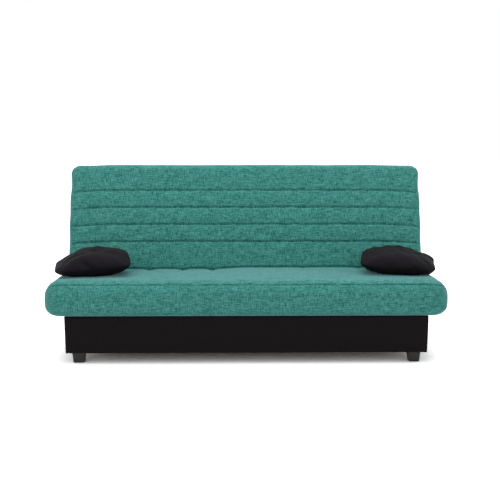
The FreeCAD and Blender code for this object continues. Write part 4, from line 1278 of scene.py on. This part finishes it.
class Trees:
    """The geometry node trees, each built on first use."""

    made: dict[str, tuple[bpy.types.NodeTree, dict[str, str]]] = {}

    @classmethod
    def stitches(cls) -> tuple[bpy.types.NodeTree, dict[str, str]]:
        """Lays thread stitches end to end along a path."""
        if "stitches" not in cls.made:
            sizes = [
                ("Pitch", NUMBER), ("Length", NUMBER), ("Girth", NUMBER),
                ("Material", "NodeSocketMaterial"),
            ]
            tree, start, end, names = geometry_tree("stitches_on_path", sizes)
            path = tree.add("GeometryNodeMeshToCurve", {"Mesh": start.outputs["Geometry"]})
            even = tree.add(
                "GeometryNodeResampleCurve",
                {"Curve": path.outputs[0], "Length": start.outputs["Pitch"]}, mode="LENGTH",
            )
            bead = tree.add("GeometryNodeMeshUVSphere", {"Segments": 6, "Rings": 4, "Radius": 1.0})
            way = tree.add(
                "FunctionNodeAlignRotationToVector",
                {"Vector": tree.add("GeometryNodeInputTangent").outputs[0]}, axis="Z",
            )
            half = tree.maths("MULTIPLY", start.outputs["Length"], 0.5)
            size = tree.add(
                "ShaderNodeCombineXYZ",
                {0: start.outputs["Girth"], 1: start.outputs["Girth"], 2: half},
            )
            laid = tree.add(
                "GeometryNodeInstanceOnPoints",
                {
                    "Points": even.outputs[0], "Instance": bead.outputs["Mesh"],
                    "Rotation": way.outputs[0], "Scale": size.outputs[0],
                },
            )
            finish_tree(tree, start, end, laid.outputs[0])
            cls.made["stitches"] = (tree.tree, names)
        return cls.made["stitches"]

    @classmethod
    def wire(cls) -> tuple[bpy.types.NodeTree, dict[str, str]]:
        """Gives a path the thickness of a round wire with closed ends."""
        if "wire" not in cls.made:
            tree, start, end, names = geometry_tree(
                "round_wire", [("Radius", NUMBER), ("Material", "NodeSocketMaterial")]
            )
            path = tree.add("GeometryNodeMeshToCurve", {"Mesh": start.outputs["Geometry"]})
            ring = tree.add(
                "GeometryNodeCurvePrimitiveCircle",
                {"Resolution": 10, "Radius": start.outputs["Radius"]}, mode="RADIUS",
            )
            skin = tree.add(
                "GeometryNodeCurveToMesh",
                {"Curve": path.outputs[0], "Profile Curve": ring.outputs[0], "Fill Caps": True},
            )
            finish_tree(tree, start, end, skin.outputs[0])
            cls.made["wire"] = (tree.tree, names)
        return cls.made["wire"]

    @classmethod
    def fixings(cls) -> tuple[bpy.types.NodeTree, dict[str, str]]:
        """Sets a copy of a shape on each point, turned as the point says."""
        if "fixings" not in cls.made:
            sizes = [
                ("Shape", "NodeSocketObject"), ("Size", NUMBER), ("Material", "NodeSocketMaterial")
            ]
            tree, start, end, names = geometry_tree("fixings_on_points", sizes)
            shape = tree.add("GeometryNodeObjectInfo", {"Object": start.outputs["Shape"]})
            turn = tree.add(
                "GeometryNodeInputNamedAttribute", {"Name": "turn"}, data_type="FLOAT_VECTOR"
            )
            angle = tree.add("FunctionNodeEulerToRotation", {0: turn.outputs[0]})
            laid = tree.add(
                "GeometryNodeInstanceOnPoints",
                {
                    "Points": start.outputs["Geometry"], "Instance": shape.outputs["Geometry"],
                    "Rotation": angle.outputs[0],
                },
            )
            sized = tree.add("GeometryNodeScaleInstances", {"Instances": laid.outputs[0]})
            tree.link(start.outputs["Size"], sized.inputs["Scale"])
            finish_tree(tree, start, end, sized.outputs[0])
            cls.made["fixings"] = (tree.tree, names)
        return cls.made["fixings"]


def grown(
    thing: bpy.types.Object, made: tuple[bpy.types.NodeTree, dict[str, str]],
    values: Mapping[str, object], name: str,
) -> bpy.types.Object:
    """Runs a geometry node tree on an object and gives the result as a plain mesh.

    Args:
        thing: The object that the tree starts from.
        made: The tree and the identifiers of its named inputs.
        values: The value of each named input.
        name: Name of the new piece.

    Returns:
        The new piece, with no modifiers.
    """
    tree, names = made
    modifier = thing.modifiers.new("grow", "NODES")
    modifier.node_group = tree
    for label, value in values.items():
        modifier[names[label]] = value
    out = baked(thing, name)
    out.data.materials.clear()
    out.data.materials.append(values["Material"])
    return out


def path_object(name: str, paths: Sequence[np.ndarray]) -> bpy.types.Object:
    """Makes an object of loose edges along some paths."""
    points, edges = [], []
    for path in paths:
        edges += [(len(points) + i, len(points) + i + 1) for i in range(len(path) - 1)]
        points += list(path)
    return mesh_object(name, np.array(points), [], edges)


def stitched(
    paths: Sequence[np.ndarray], name: str, material: bpy.types.Material, pitch: float = 0.0075,
    length: float = 0.0056, girth: float = 0.0007,
) -> bpy.types.Object:
    """Sews a row of stitches along each path."""
    values = {"Pitch": pitch, "Length": length, "Girth": girth, "Material": material}
    return grown(path_object(name + "_path", paths), Trees.stitches(), values, name)


def wired(
    paths: Sequence[np.ndarray], name: str, radius: float, material: bpy.types.Material
) -> bpy.types.Object:
    """Makes round wire along each path."""
    return grown(
        path_object(name + "_path", paths), Trees.wire(), {"Radius": radius, "Material": material},
        name,
    )


def fixed(
    spots: Sequence[tuple[Sequence[float], Sequence[float]]], shape: bpy.types.Object, name: str,
    size: float, material: bpy.types.Material,
) -> bpy.types.Object:
    """Sets a fixing at each spot.

    Args:
        spots: Place and turn, as XYZ angles, of each fixing.
        shape: The fixing, pointing up from its origin.
        name: Name of the new piece.
        size: Factor on the shape's size.
        material: Material of the fixings.

    Returns:
        The fixings as one plain mesh.
    """
    points = mesh_object(name + "_spots", np.array([place for place, _ in spots]), [])
    turn = points.data.attributes.new("turn", "FLOAT_VECTOR", "POINT")
    turn.data.foreach_set("vector", np.array([angles for _, angles in spots], np.float32).ravel())
    return grown(
        points, Trees.fixings(), {"Shape": shape, "Size": size, "Material": material}, name
    )


def turned(name: str, outline: Sequence[tuple[float, float]], sides: int = 20) -> bpy.types.Object:
    """Turns an outline of radius and height round Z into a closed shape."""
    points, faces = [], []
    for radius, height in outline:
        for s in range(sides):
            angle = math.tau * s / sides
            points.append((radius * math.cos(angle), radius * math.sin(angle), height))
    for ring in range(len(outline) - 1):
        for s in range(sides):
            a, b = ring * sides + s, ring * sides + (s + 1) % sides
            faces.append((a, b, b + sides, a + sides))
    faces.append(tuple(range(sides)))
    faces.append(tuple(reversed(range((len(outline) - 1) * sides, len(outline) * sides))))
    thing = mesh_object(name, np.array(points), faces)
    face_outwards(thing)
    return thing


def screw_head() -> bpy.types.Object:
    """Makes a domed screw head with a socket, one unit in radius."""
    return turned(
        "screw_head",
        [
            (1.0, -0.2), (1.0, 0.0), (0.96, 0.16), (0.82, 0.36), (0.60, 0.50), (0.42, 0.56),
            (0.36, 0.54), (0.34, 0.20), (0.10, 0.14),
        ], sides=12,
    )


def staple() -> bpy.types.Object:
    """Makes the crown of an upholstery staple, 10 mm long, lying along X."""
    xs = [-0.0052, -0.0050, -0.0042, 0.0042, 0.0050, 0.0052]
    zs = [-0.0010, 0.0002, 0.0007, 0.0007, 0.0002, -0.0010]
    half, depth = 0.0006, 0.0007
    points, faces = [], []
    for x, z in zip(xs, zs):
        points += [(x, -half, z), (x, half, z), (x, half, z - depth), (x, -half, z - depth)]
    for i in range(len(xs) - 1):
        for s in range(4):
            a, b = i * 4 + s, i * 4 + (s + 1) % 4
            faces.append((a, b, b + 4, a + 4))
    faces += [(3, 2, 1, 0), tuple(len(points) - 4 + k for k in range(4))]
    thing = mesh_object("staple", np.array(points), faces, smooth=False)
    face_outwards(thing)
    return thing


@dataclass
class ChestCover:
    """The cloth-covered chest: one ring of covered panels round the storage space."""

    wall: float = 0.018
    corner: float = 0.005
    lip: float = 0.002
    taper: float = 0.0045
    staple_pitch: float = 0.038

    def __post_init__(self) -> None:
        """Reads the chest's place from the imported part."""
        boxes = [
            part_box(n)
            for n in (
                "chest_front_panel", "chest_rear_panel", "chest_left_panel", "chest_right_panel"
            )
        ]
        self.low = Vector([min(b[0][k] for b in boxes) for k in range(3)])
        self.high = Vector([max(b[1][k] for b in boxes) for k in range(3)])
        self.rear_top = boxes[1][1].z

    def plan(self) -> list[tuple[float, float, float, float, float]]:
        """Lists the plan of the outer face: place, outward way and distance round."""
        x0, x1, y0, y1, r = self.low.x, self.high.x, self.low.y, self.high.y, self.corner
        along = graded(0.0, 1.0, [0.0, 1.0], fine=0.008, coarse=0.02)
        spots: list[tuple[float, float, float, float]] = []
        sides = [
            ((x0 + r, y0), (x1 - r, y0), (0, -1)), ((x1, y0 + r), (x1, y1 - r), (1, 0)),
            ((x1 - r, y1), (x0 + r, y1), (0, 1)), ((x0, y1 - r), (x0, y0 + r), (-1, 0)),
        ]
        for number, (a, b, way) in enumerate(sides):
            share = along if number % 2 == 0 else along[::3] + ([1.0] if along[::3][-1] < 1 else [])
            spots += [
                (a[0] + (b[0] - a[0]) * t, a[1] + (b[1] - a[1]) * t, float(way[0]), float(way[1]))
                for t in share
            ]
            after = sides[(number + 1) % 4][2]
            middle = (b[0] - way[0] * r, b[1] - way[1] * r)
            for k in range(1, 6):
                angle = math.pi / 2 * k / 6
                wx = way[0] * math.cos(angle) + after[0] * math.sin(angle)
                wy = way[1] * math.cos(angle) + after[1] * math.sin(angle)
                spots.append((middle[0] + wx * r, middle[1] + wy * r, wx, wy))
        travel, rows = 0.0, []
        for i, spot in enumerate(spots):
            travel += math.dist(spot[:2], spots[i - 1][:2]) if i else 0.0
            rows.append((*spot, travel))
        return rows

    def build(self, finishes: Finishes) -> list[bpy.types.Object]:
        """Makes the cover, its corner seams' stitches and its staples.

        Args:
            finishes: The finishes to dress it with.

        Returns:
            The pieces of the cover.
        """
        plan = self.plan()
        low, lip, wall = self.low.z, self.lip, self.wall
        points, count = [], len(plan)
        for x, y, wx, wy, travel in plan:
            rearness = float(ease(self.high.y - 0.035, self.high.y - 0.012, np.array(y)))
            top = self.high.z + (self.rear_top - self.high.z) * rearness
            heights = np.linspace(low + lip, top - lip, 16)
            ring = [(0.0, z) for z in heights]
            ring += [
                (-lip * 0.3, top - lip * 0.3), (-lip, top), (-wall + lip, top),
                (-wall + lip * 0.3, top - lip * 0.3),
            ]
            ring += [(-wall, z) for z in np.linspace(top - lip, low + lip, 6)]
            ring += [
                (-wall + lip * 0.3, low + lip * 0.3), (-wall + lip, low), (-lip, low),
                (-lip * 0.3, low + lip * 0.3),
            ]
            for step, (out, z) in enumerate(ring):
                down = (top - z) / (top - low)
                slack = 0.0
                if step < 16:
                    slack = 0.0008 * float(
                        ripple(np.array([travel]), np.array([z]), length=0.26, seed=21)[0]
                    )
                    slack += 0.0005 * math.exp(-(((down - 0.94) / 0.05) ** 2)) * float(
                        ripple(np.array([travel]), np.zeros(1), length=0.05, seed=22)[0]
                    )
                shift = out + slack - (self.taper * down**1.4 if out > -wall * 0.5 else 0.0)
                points.append((x + wx * shift, y + wy * shift, z))
        deep = len(points) // count
        faces = []
        for i in range(count):
            for k in range(deep):
                a, b = i * deep, (i + 1) % count * deep
                faces.append((a + k, b + k, b + (k + 1) % deep, a + (k + 1) % deep))
        cover = mesh_object("chest_cover", np.array(points), faces)
        face_outwards(cover)
        layer = cover.data.uv_layers.new(name="cloth")
        places = [(plan[v // deep][4], v % deep * 0.012) for v in range(len(points))]
        layer.data.foreach_set(
            "uv",
            np.array([places[loop.vertex_index] for loop in cover.data.loops], np.float32).ravel(),
        )
        cover.data.materials.append(finishes.get(CHEST))
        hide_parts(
            "chest_front_panel", "chest_rear_panel", "chest_left_panel", "chest_right_panel"
        )
        seams = []
        for sx in (-1, 1):
            for y, wy in ((self.low.y, -1), (self.high.y, 1)):
                top = self.high.z if wy < 0 else self.rear_top
                edge = self.corner * (1 - math.sqrt(0.5))
                path = []
                for z in np.linspace(low + 0.004, top - 0.004, 14):
                    back = self.taper * ((top - z) / (top - low)) ** 1.4 * math.sqrt(0.5) + edge
                    path.append((sx * (self.high.x - back), y - wy * back, z))
                seams.append(np.array(path))
        sewn = stitched(
            seams, "chest_corner_stitches", finishes.get(DARK_THREAD), pitch=0.007, length=0.0052,
            girth=0.0007,
        )
        spots, last = [], 0.0
        for x, y, wx, wy, travel in plan:
            if spots and travel - last < self.staple_pitch:
                continue
            last = travel
            inset = self.wall * 0.55 + self.taper * 0.4
            spots.append(
                (
                    (x - wx * inset, y - wy * inset, low - 0.0002),
                    (math.pi, 0.0, math.atan2(wx, -wy) + 0.12 * math.sin(travel * 37)),
                )
            )
        crown = staple()
        staples = fixed(spots, crown, "chest_staples", size=1.0, material=finishes.get(ZINC))
        bpy.data.objects.remove(crown)
        for piece, slot in (
            (cover, "chest_fabric"), (sewn, "chest_fabric"), (staples, "zinc_steel")
        ):
            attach(piece, "base")
        return [cover, sewn, staples]


@dataclass
class Springs:
    """The two tension springs, each a close coil with a hook at both ends."""

    eye: float = 0.0075
    coil: float = 0.0058
    wire: float = 0.0012
    turns: int = 34

    def build(self, finishes: Finishes) -> list[bpy.types.Object]:
        """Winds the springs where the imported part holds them."""
        out = []
        for node in ("spring_left", "spring_right"):
            low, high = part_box(node)
            x = (low.x + high.x) / 2
            foot = Vector((x, low.y + self.eye, low.z + self.eye))
            head = Vector((x, high.y - self.eye, high.z - self.eye))
            way = (head - foot).normalized()
            side = Vector((1.0, 0.0, 0.0))
            across = way.cross(side)
            length = (head - foot).length
            ring = self.eye - self.wire
            path = [
                foot + (way * math.cos(a) + across * math.sin(a)) * ring
                for a in np.linspace(1.15 * math.pi, 0.12 + 2 * math.pi, 20)
            ]
            start, stop = self.eye + 0.004, length - self.eye - 0.004
            for a in np.linspace(0, self.turns * math.tau, self.turns * 14):
                t = start + (stop - start) * a / (self.turns * math.tau)
                path.append(
                    foot + way * t + (across * math.sin(a) + side * math.cos(a)) * self.coil
                )
            path += [
                head + (way * math.cos(a) + across * math.sin(a)) * ring
                for a in np.linspace(math.pi - 0.12, -0.85 * math.pi, 20)
            ]
            piece = wired([np.array(path)], node + "_coil", self.wire, finishes.get(SPRING))
            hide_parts(node)
            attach(piece, "springs")
            out.append(piece)
        return out


@dataclass
class Fixings:
    """Screws in the hinge leaves and the floor panel."""

    head: float = 0.0042
    leaf_head: float = 0.0040
    leaf_columns: tuple[float, float] = (-0.018, 0.018)
    leaf_rows: tuple[float, float] = (0.014, 0.040)
    leaf_inset: float = 0.030
    leaf_depth: float = 0.0048

    def build(self, finishes: Finishes) -> list[bpy.types.Object]:
        """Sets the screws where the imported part's pieces are."""
        shape = screw_head()
        out = []
        low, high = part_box("chest_floor_panel")
        spots = []
        inset = 0.012
        for x in np.linspace(low.x + inset, high.x - inset, 12):
            spots += [
                ((x, y, low.z), (math.pi, 0.0, x * 9)) for y in (low.y + inset, high.y - inset)
            ]
        for y in np.linspace(low.y + 0.1, high.y - 0.1, 4):
            spots += [
                ((x, y, low.z), (math.pi, 0.0, y * 9)) for x in (low.x + inset, high.x - inset)
            ]
        out.append(
            (
                fixed(spots, shape, "floor_screws", size=self.head, material=finishes.get(ZINC)),
                "base",
            )
        )
        low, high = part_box("lift_hinge_leaves")
        spots = []
        for sign in (-1, 1):
            for dx in self.leaf_columns:
                for z in (low.z + rise for rise in self.leaf_rows):
                    spots.append(
                        (
                            (sign * (high.x - self.leaf_inset) + dx, high.y - self.leaf_depth, z),
                            (-math.pi / 2, 0.0, 0.0),
                        )
                    )
        out.append(
            (
                fixed(
                    spots, shape, "hinge_screws", size=self.leaf_head, material=finishes.get(ZINC)
                ), "base",
            )
        )
        bpy.data.objects.remove(shape)
        for piece, body in out:
            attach(piece, body)
        return [piece for piece, _ in out]


@dataclass(frozen=True)
class Dressing:
    """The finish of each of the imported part's own pieces."""

    wear: tuple[tuple[Finish, tuple[str, ...]], ...] = (
        (HARDBOARD, ("chest_floor_panel",)),
        (PINE, ("chest_corner_blocks", "rail_cleat_left", "rail_cleat_right")),
        (FOOT, ("foot_front_left", "foot_front_right", "foot_rear_left", "foot_rear_right")),
        (
            ZINC,
            (
                "foot_bolts", "lift_hinge_leaves", "lift_hinge_pins", "lift_hinge_straps",
                "lower_pivot_pins", "upper_pivot_pins", "spring_anchor_pins",
                "ratchet_seat_arm_left", "ratchet_seat_arm_right", "ratchet_back_arm_left",
                "ratchet_back_arm_right", "ratchet_pins", "ratchet_pawls",
            ),
        ),
        (RUBBER, ("seat_bumpers",)),
        (BEECH, ("seat_slats", "back_slats")),
        (HOLDER, ("seat_slat_holders", "back_slat_holders")),
    )

    def apply(self, nodes: Mapping[str, bpy.types.Object], finishes: Finishes) -> None:
        """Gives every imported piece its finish; what is not listed is powder-coated steel."""
        chosen = {name: finish for finish, names in self.wear for name in names}
        for name, thing in nodes.items():
            material = finishes.get(chosen.get(name, POWDER))
            thing.data.materials.clear()
            thing.data.materials.append(material)


def seen_directly(tree: Tree) -> bpy.types.NodeSocket:
    """Gives 1 for rays from the camera, a mirror or a pane, and 0 for the rest."""
    path = tree.add("ShaderNodeLightPath")
    bent = tree.maths("MAXIMUM", path.outputs["Is Glossy Ray"], path.outputs["Is Transmission Ray"])
    return tree.maths("MAXIMUM", path.outputs["Is Camera Ray"], bent)


@dataclass
class Room:
    """The pale floor, the soft light and the camera."""

    camera_place: tuple[float, float, float] = (-0.044, -4.4215, 1.017)
    camera_pitch: float = 83.34
    camera_yaw: float = -0.84
    lens: float = 61.6
    floor_glow: float = 1.72
    floor_shade: float = 0.82
    world_light: float = 0.82

    def build(self) -> None:
        """Makes the floor, the lamps, the world and the camera."""
        scene = bpy.context.scene
        scene.view_settings.view_transform = "Standard"
        floor = mesh_object(
            "floor", np.array([(-30, -12, 0), (30, -12, 0), (30, 60, 0), (-30, 60, 0)], float),
            [(0, 1, 2, 3)],
        )
        floor.data.materials.append(self.floor_material())
        self.world(scene)
        self.lamp(
            "overhead", (0.0, 0.05, 3.6), aim=(0.0, 0.0, 0.3), width=4.2, height=3.2, watts=94.0
        )
        self.lamp(
            "front", (-1.6, -4.6, 2.6), aim=(0.0, 0.0, 0.4), width=3.0, height=2.2, watts=24.0
        )
        data = bpy.data.cameras.new("camera")
        data.lens, data.sensor_width = self.lens, 36.0
        data.clip_end = 200.0
        camera = bpy.data.objects.new("camera", data)
        camera.location = self.camera_place
        camera.rotation_euler = (
            math.radians(self.camera_pitch), 0.0, math.radians(self.camera_yaw)
        )
        scene.collection.objects.link(camera)
        scene.camera = camera

    def floor_material(self) -> bpy.types.Material:
        """Makes the plain pale floor, with a faint unevenness in its gloss."""
        material = bpy.data.materials.new("floor")
        material.use_nodes = True
        material.node_tree.nodes.clear()
        tree = Tree(material.node_tree)
        at = tree.add("ShaderNodeTexCoord").outputs["Object"]
        cloud = tree.noise(at, 3.0)
        shader = tree.add(
            "ShaderNodeBsdfPrincipled",
            {
                "Base Color": (*[self.floor_shade] * 3, 1.0),
                "Roughness": tree.span(cloud, 0.3, 0.7, 0.85, 0.95),
            },
        )
        shader.inputs["Specular IOR Level"].default_value = 0.0
        seen = seen_directly(tree)
        pale = tree.add("ShaderNodeBsdfDiffuse", {"Color": (*[self.floor_glow] * 3, 1.0)})
        both = tree.add("ShaderNodeMixShader", {0: seen, 1: shader.outputs[0], 2: pale.outputs[0]})
        tree.add("ShaderNodeOutputMaterial", {0: both.outputs[0]})
        return material

    def world(self, scene: bpy.types.Scene) -> None:
        """Makes soft even light that a camera, a mirror or a pane sees as white."""
        world = bpy.data.worlds.new("studio")
        world.use_nodes = True
        world.node_tree.nodes.clear()
        tree = Tree(world.node_tree)
        seen = seen_directly(tree)
        strength = tree.span(seen, 0.0, 1.0, self.world_light, 1.0)
        light = tree.add(
            "ShaderNodeBackground", {"Color": (1.0, 1.0, 1.0, 1.0), "Strength": strength}
        )
        tree.add("ShaderNodeOutputWorld", {0: light.outputs[0]})
        scene.world = world

    def lamp(
        self, name: str, place: Sequence[float], aim: Sequence[float], width: float, height: float,
        watts: float,
    ) -> None:
        """Hangs a soft rectangular lamp.

        Args:
            name: Name of the lamp.
            place: Where it hangs.
            aim: What it points at.
            width: Its width.
            height: Its height.
            watts: Its power.
        """
        data = bpy.data.lights.new(name, "AREA")
        data.shape, data.size, data.size_y, data.energy = "RECTANGLE", width, height, watts
        thing = bpy.data.objects.new(name, data)
        thing.location = place
        thing.rotation_euler = (Vector(aim) - Vector(place)).to_track_quat("-Z", "Y").to_euler()
        thing.visible_camera = False
        bpy.context.scene.collection.objects.link(thing)


def main() -> None:
    """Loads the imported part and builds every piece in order."""
    logging.basicConfig(level=logging.INFO, format="%(name)s: %(message)s")
    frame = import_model()
    Room().build()
    finishes = Finishes()
    Dressing().apply(frame["nodes"], finishes)
    made: list[bpy.types.Object] = []
    mattress = Mattress()
    cover = mattress.build(finishes)
    for body, paths in mattress.seam_lines().items():
        thread = stitched(paths, f"{body}_seam_stitches", finishes.get(THREAD))
        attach(thread, body)
        made.append(thread)
    mattress.join(cover)
    made.append(cover)
    made += Pillow(
        "pillow_left", "pillow_left", yaw=9.7, roll=-3.7, pitch=3.5, seed=11, taper=0.42
    ).build(finishes)
    made += Pillow("pillow_right", "pillow_right", yaw=-9.7, roll=3.7, pitch=3.5, seed=12).build(
        finishes
    )
    made += ChestCover().build(finishes)
    made += Springs().build(finishes)
    made += Fixings().build(finishes)
    for piece in made:
        LOG.info("%s: %d faces", piece.name, len(piece.data.polygons))


if __name__ == "__main__":
    main()
